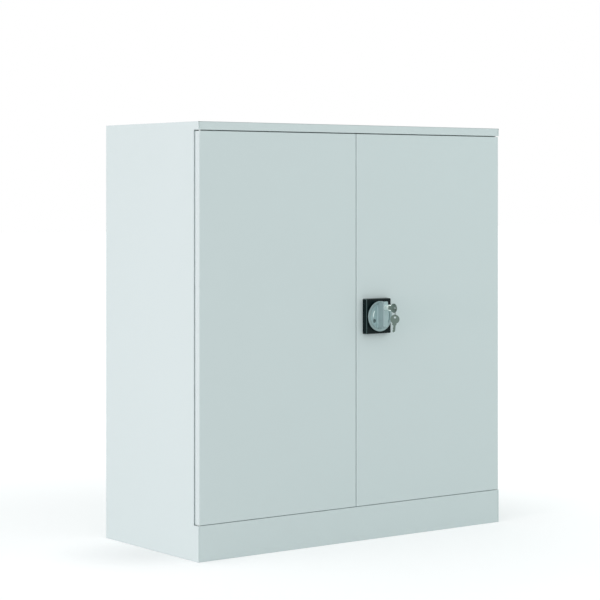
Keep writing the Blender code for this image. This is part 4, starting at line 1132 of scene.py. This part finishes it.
class CUPBOARD_OT_lock_works(bpy.types.Operator):
    """The lock's inner parts and rods"""

    bl_idname = "cupboard.lock_works"
    bl_label = "Lock works"

    def execute(self, context):
        plated = nodes_named("housing_screw") + nodes_named("lock_rod")
        plated += ["lock_plate", "spindle", "drive_disc", "latch_cam", "spindle_nut"]
        soft_copies(plated, "zinc", zinc_plate(), FINE_EASE)
        soft_copies(nodes_named("rod_guide"), "nylon", natural_nylon(), PLAIN_EASE)
        return {"FINISHED"}


class CUPBOARD_OT_housing(bpy.types.Operator):
    """The black cover round the handle"""

    bl_idname = "cupboard.housing"
    bl_label = "Lock housing"

    def execute(self, context):
        housing_cover()
        return {"FINISHED"}


class CUPBOARD_OT_handle(bpy.types.Operator):
    """The turn handle with its cylinder and plug"""

    bl_idname = "cupboard.handle"
    bl_label = "Turn handle"

    def execute(self, context):
        turn_handle()
        cylinder_barrel()
        soft_copies(["key_plug"], "satin_handle", bright_nickel(), FINE_EASE)
        return {"FINISHED"}


class CUPBOARD_OT_keys(bpy.types.Operator):
    """Both keys and the split ring"""

    bl_idname = "cupboard.keys"
    bl_label = "Keys"

    def execute(self, context):
        lock_key_piece()
        spare_key_piece()
        split_ring()
        return {"FINISHED"}


def make_floor(stage):
    """A wide flat floor that keeps the cupboard's shadow and looks white to the camera, but for a
    shadow painted round the cupboard's left foot.
    """
    corners = [(x, y, 0) for x, y in rectangle(-FLOOR_HALF, -FLOOR_HALF, FLOOR_HALF, FLOOR_HALF)]
    mesh = bpy.data.meshes.new("studio_floor")
    mesh.from_pydata(corners, [], [(0, 1, 2, 3)])
    floor = bpy.data.objects.new("studio_floor", mesh)
    bpy.context.scene.collection.objects.link(floor)
    material = bpy.data.materials.new("studio_floor_finish")
    material.use_nodes = True
    tree = material.node_tree
    shader = tree.nodes["Principled BSDF"]
    shader.inputs["Base Color"].default_value = (*stage.floor_colour, 1)
    shader.inputs["Roughness"].default_value = FLOOR_ROUGHNESS
    shader.inputs["Specular IOR Level"].default_value = 0
    shader.inputs["Emission Color"].default_value = WHITE
    feeds = {0: place_on(tree), 1: FOOT_SHADOW_CENTRE}
    distance = output_of(tree, "VectorMath", "Value", feeds, operation="DISTANCE")
    # Painted shadow: less white by the left foot and round the cupboard, more far away
    near = reach(tree, distance, 0.0, FOOT_SHADOW_REACH, stage.foot_lift, stage.floor_lift)
    far = reach(tree, distance, *FAR_REACH, 0, stage.far_lift - stage.floor_lift)
    seen = combined(tree, "MULTIPLY", seen_rays(tree), combined(tree, "ADD", near, far))
    tree.links.new(seen, shader.inputs["Emission Strength"])
    mesh.materials.append(material)


def seen_rays(tree):
    """1 for camera, glossy and transmission rays, and 0 for the rest."""
    path = tree.nodes.new("ShaderNodeLightPath")
    both = combined(tree, "MAXIMUM", path.outputs["Is Camera Ray"], path.outputs["Is Glossy Ray"])
    return combined(tree, "MAXIMUM", both, path.outputs["Is Transmission Ray"])


def make_world(stage):
    """Studio light that falls off evenly from left to right, and plain white where the camera or a
    reflection looks past the floor."""
    world = bpy.data.worlds.new("studio")
    bpy.context.scene.world = world
    world.use_nodes = True
    tree = world.node_tree
    background = tree.nodes["Background"]
    seen = seen_rays(tree)
    tree.links.new(mixed(tree, seen, STUDIO_TINT, WHITE), background.inputs["Color"])
    heading = axes_of(tree, tree.nodes.new("ShaderNodeTexCoord").outputs["Generated"])
    lean = combined(tree, "MULTIPLY", heading["X"], -stage.side_bias)
    around = combined(tree, "ADD", lean, stage.ambient)
    tree.links.new(spread(tree, seen, around, 1.0), background.inputs["Strength"])


def add_lamp(name, power, colour, place, target, size):
    """A square area lamp that looks at a point."""
    lamp = bpy.data.lights.new(name, "AREA")
    lamp.energy = power
    lamp.color = colour
    lamp.size = size
    body = bpy.data.objects.new(name, lamp)
    body.location = place
    body.rotation_euler = (Vector(target) - Vector(place)).to_track_quat("-Z", "Y").to_euler()
    bpy.context.scene.collection.objects.link(body)


class CUPBOARD_OT_stage(bpy.types.Operator):
    """Floor, studio light and camera"""

    bl_idname = "cupboard.stage"
    bl_label = "Stage"

    def execute(self, context):
        stage = context.scene.cupboard_stage
        make_floor(stage)
        make_world(stage)
        add_lamp("side_lamp", stage.side_lamp, *SIDE_LAMP)
        add_lamp("front_lamp", stage.front_lamp, *FRONT_LAMP)
        data = bpy.data.cameras.new("photo_camera")
        data.lens = CAMERA_LENS
        data.shift_y = CAMERA_SHIFT_Y
        camera = bpy.data.objects.new("photo_camera", data)
        camera.location = CAMERA_PLACE
        camera.rotation_euler = CAMERA_TURN
        context.scene.collection.objects.link(camera)
        context.scene.camera = camera
        context.scene.view_settings.view_transform = "Standard"
        return {"FINISHED"}


class CUPBOARD_PT_pieces(bpy.types.Panel):
    """The pieces of the cupboard, and the sizes and colours behind them"""

    bl_label = "Steel cupboard"
    bl_idname = "CUPBOARD_PT_pieces"
    bl_space_type = "VIEW_3D"
    bl_region_type = "UI"
    bl_category = "Cupboard"

    def draw(self, context):
        column = self.layout.column()
        for operator in OPERATORS:
            column.operator(operator.bl_idname)
        for label in SETTINGS:
            settings = getattr(context.scene, label)
            for field in settings.__annotations__:
                column.prop(settings, field)


OPERATORS = (
    CUPBOARD_OT_stage, CUPBOARD_OT_carcass, CUPBOARD_OT_shelves, CUPBOARD_OT_doors,
    CUPBOARD_OT_hinge_fittings, CUPBOARD_OT_lock_works, CUPBOARD_OT_housing, CUPBOARD_OT_handle,
    CUPBOARD_OT_keys,
)
SETTINGS = {
    "cupboard_sheet": SheetSettings,
    "cupboard_lock": LockSettings,
    "cupboard_keys": KeySettings,
    "cupboard_stage": StageSettings,
}


def register():
    """Add the settings, the operators and the panel to Blender."""
    for label, settings in SETTINGS.items():
        bpy.utils.register_class(settings)
        setattr(bpy.types.Scene, label, bpy.props.PointerProperty(type=settings))
    for part in (*OPERATORS, CUPBOARD_PT_pieces):
        bpy.utils.register_class(part)


def unregister():
    """Take them out again."""
    for part in reversed((*OPERATORS, CUPBOARD_PT_pieces)):
        bpy.utils.unregister_class(part)
    for label, settings in SETTINGS.items():
        delattr(bpy.types.Scene, label)
        bpy.utils.unregister_class(settings)


def main():
    register()
    bpy.ops.cupboard.stage()
    bpy.ops.cupboard.carcass()
    bpy.ops.cupboard.shelves()
    bpy.ops.cupboard.doors()
    bpy.ops.cupboard.hinge_fittings()
    bpy.ops.cupboard.lock_works()
    bpy.ops.cupboard.housing()
    bpy.ops.cupboard.handle()
    bpy.ops.cupboard.keys()


if __name__ == "__main__":
    main()
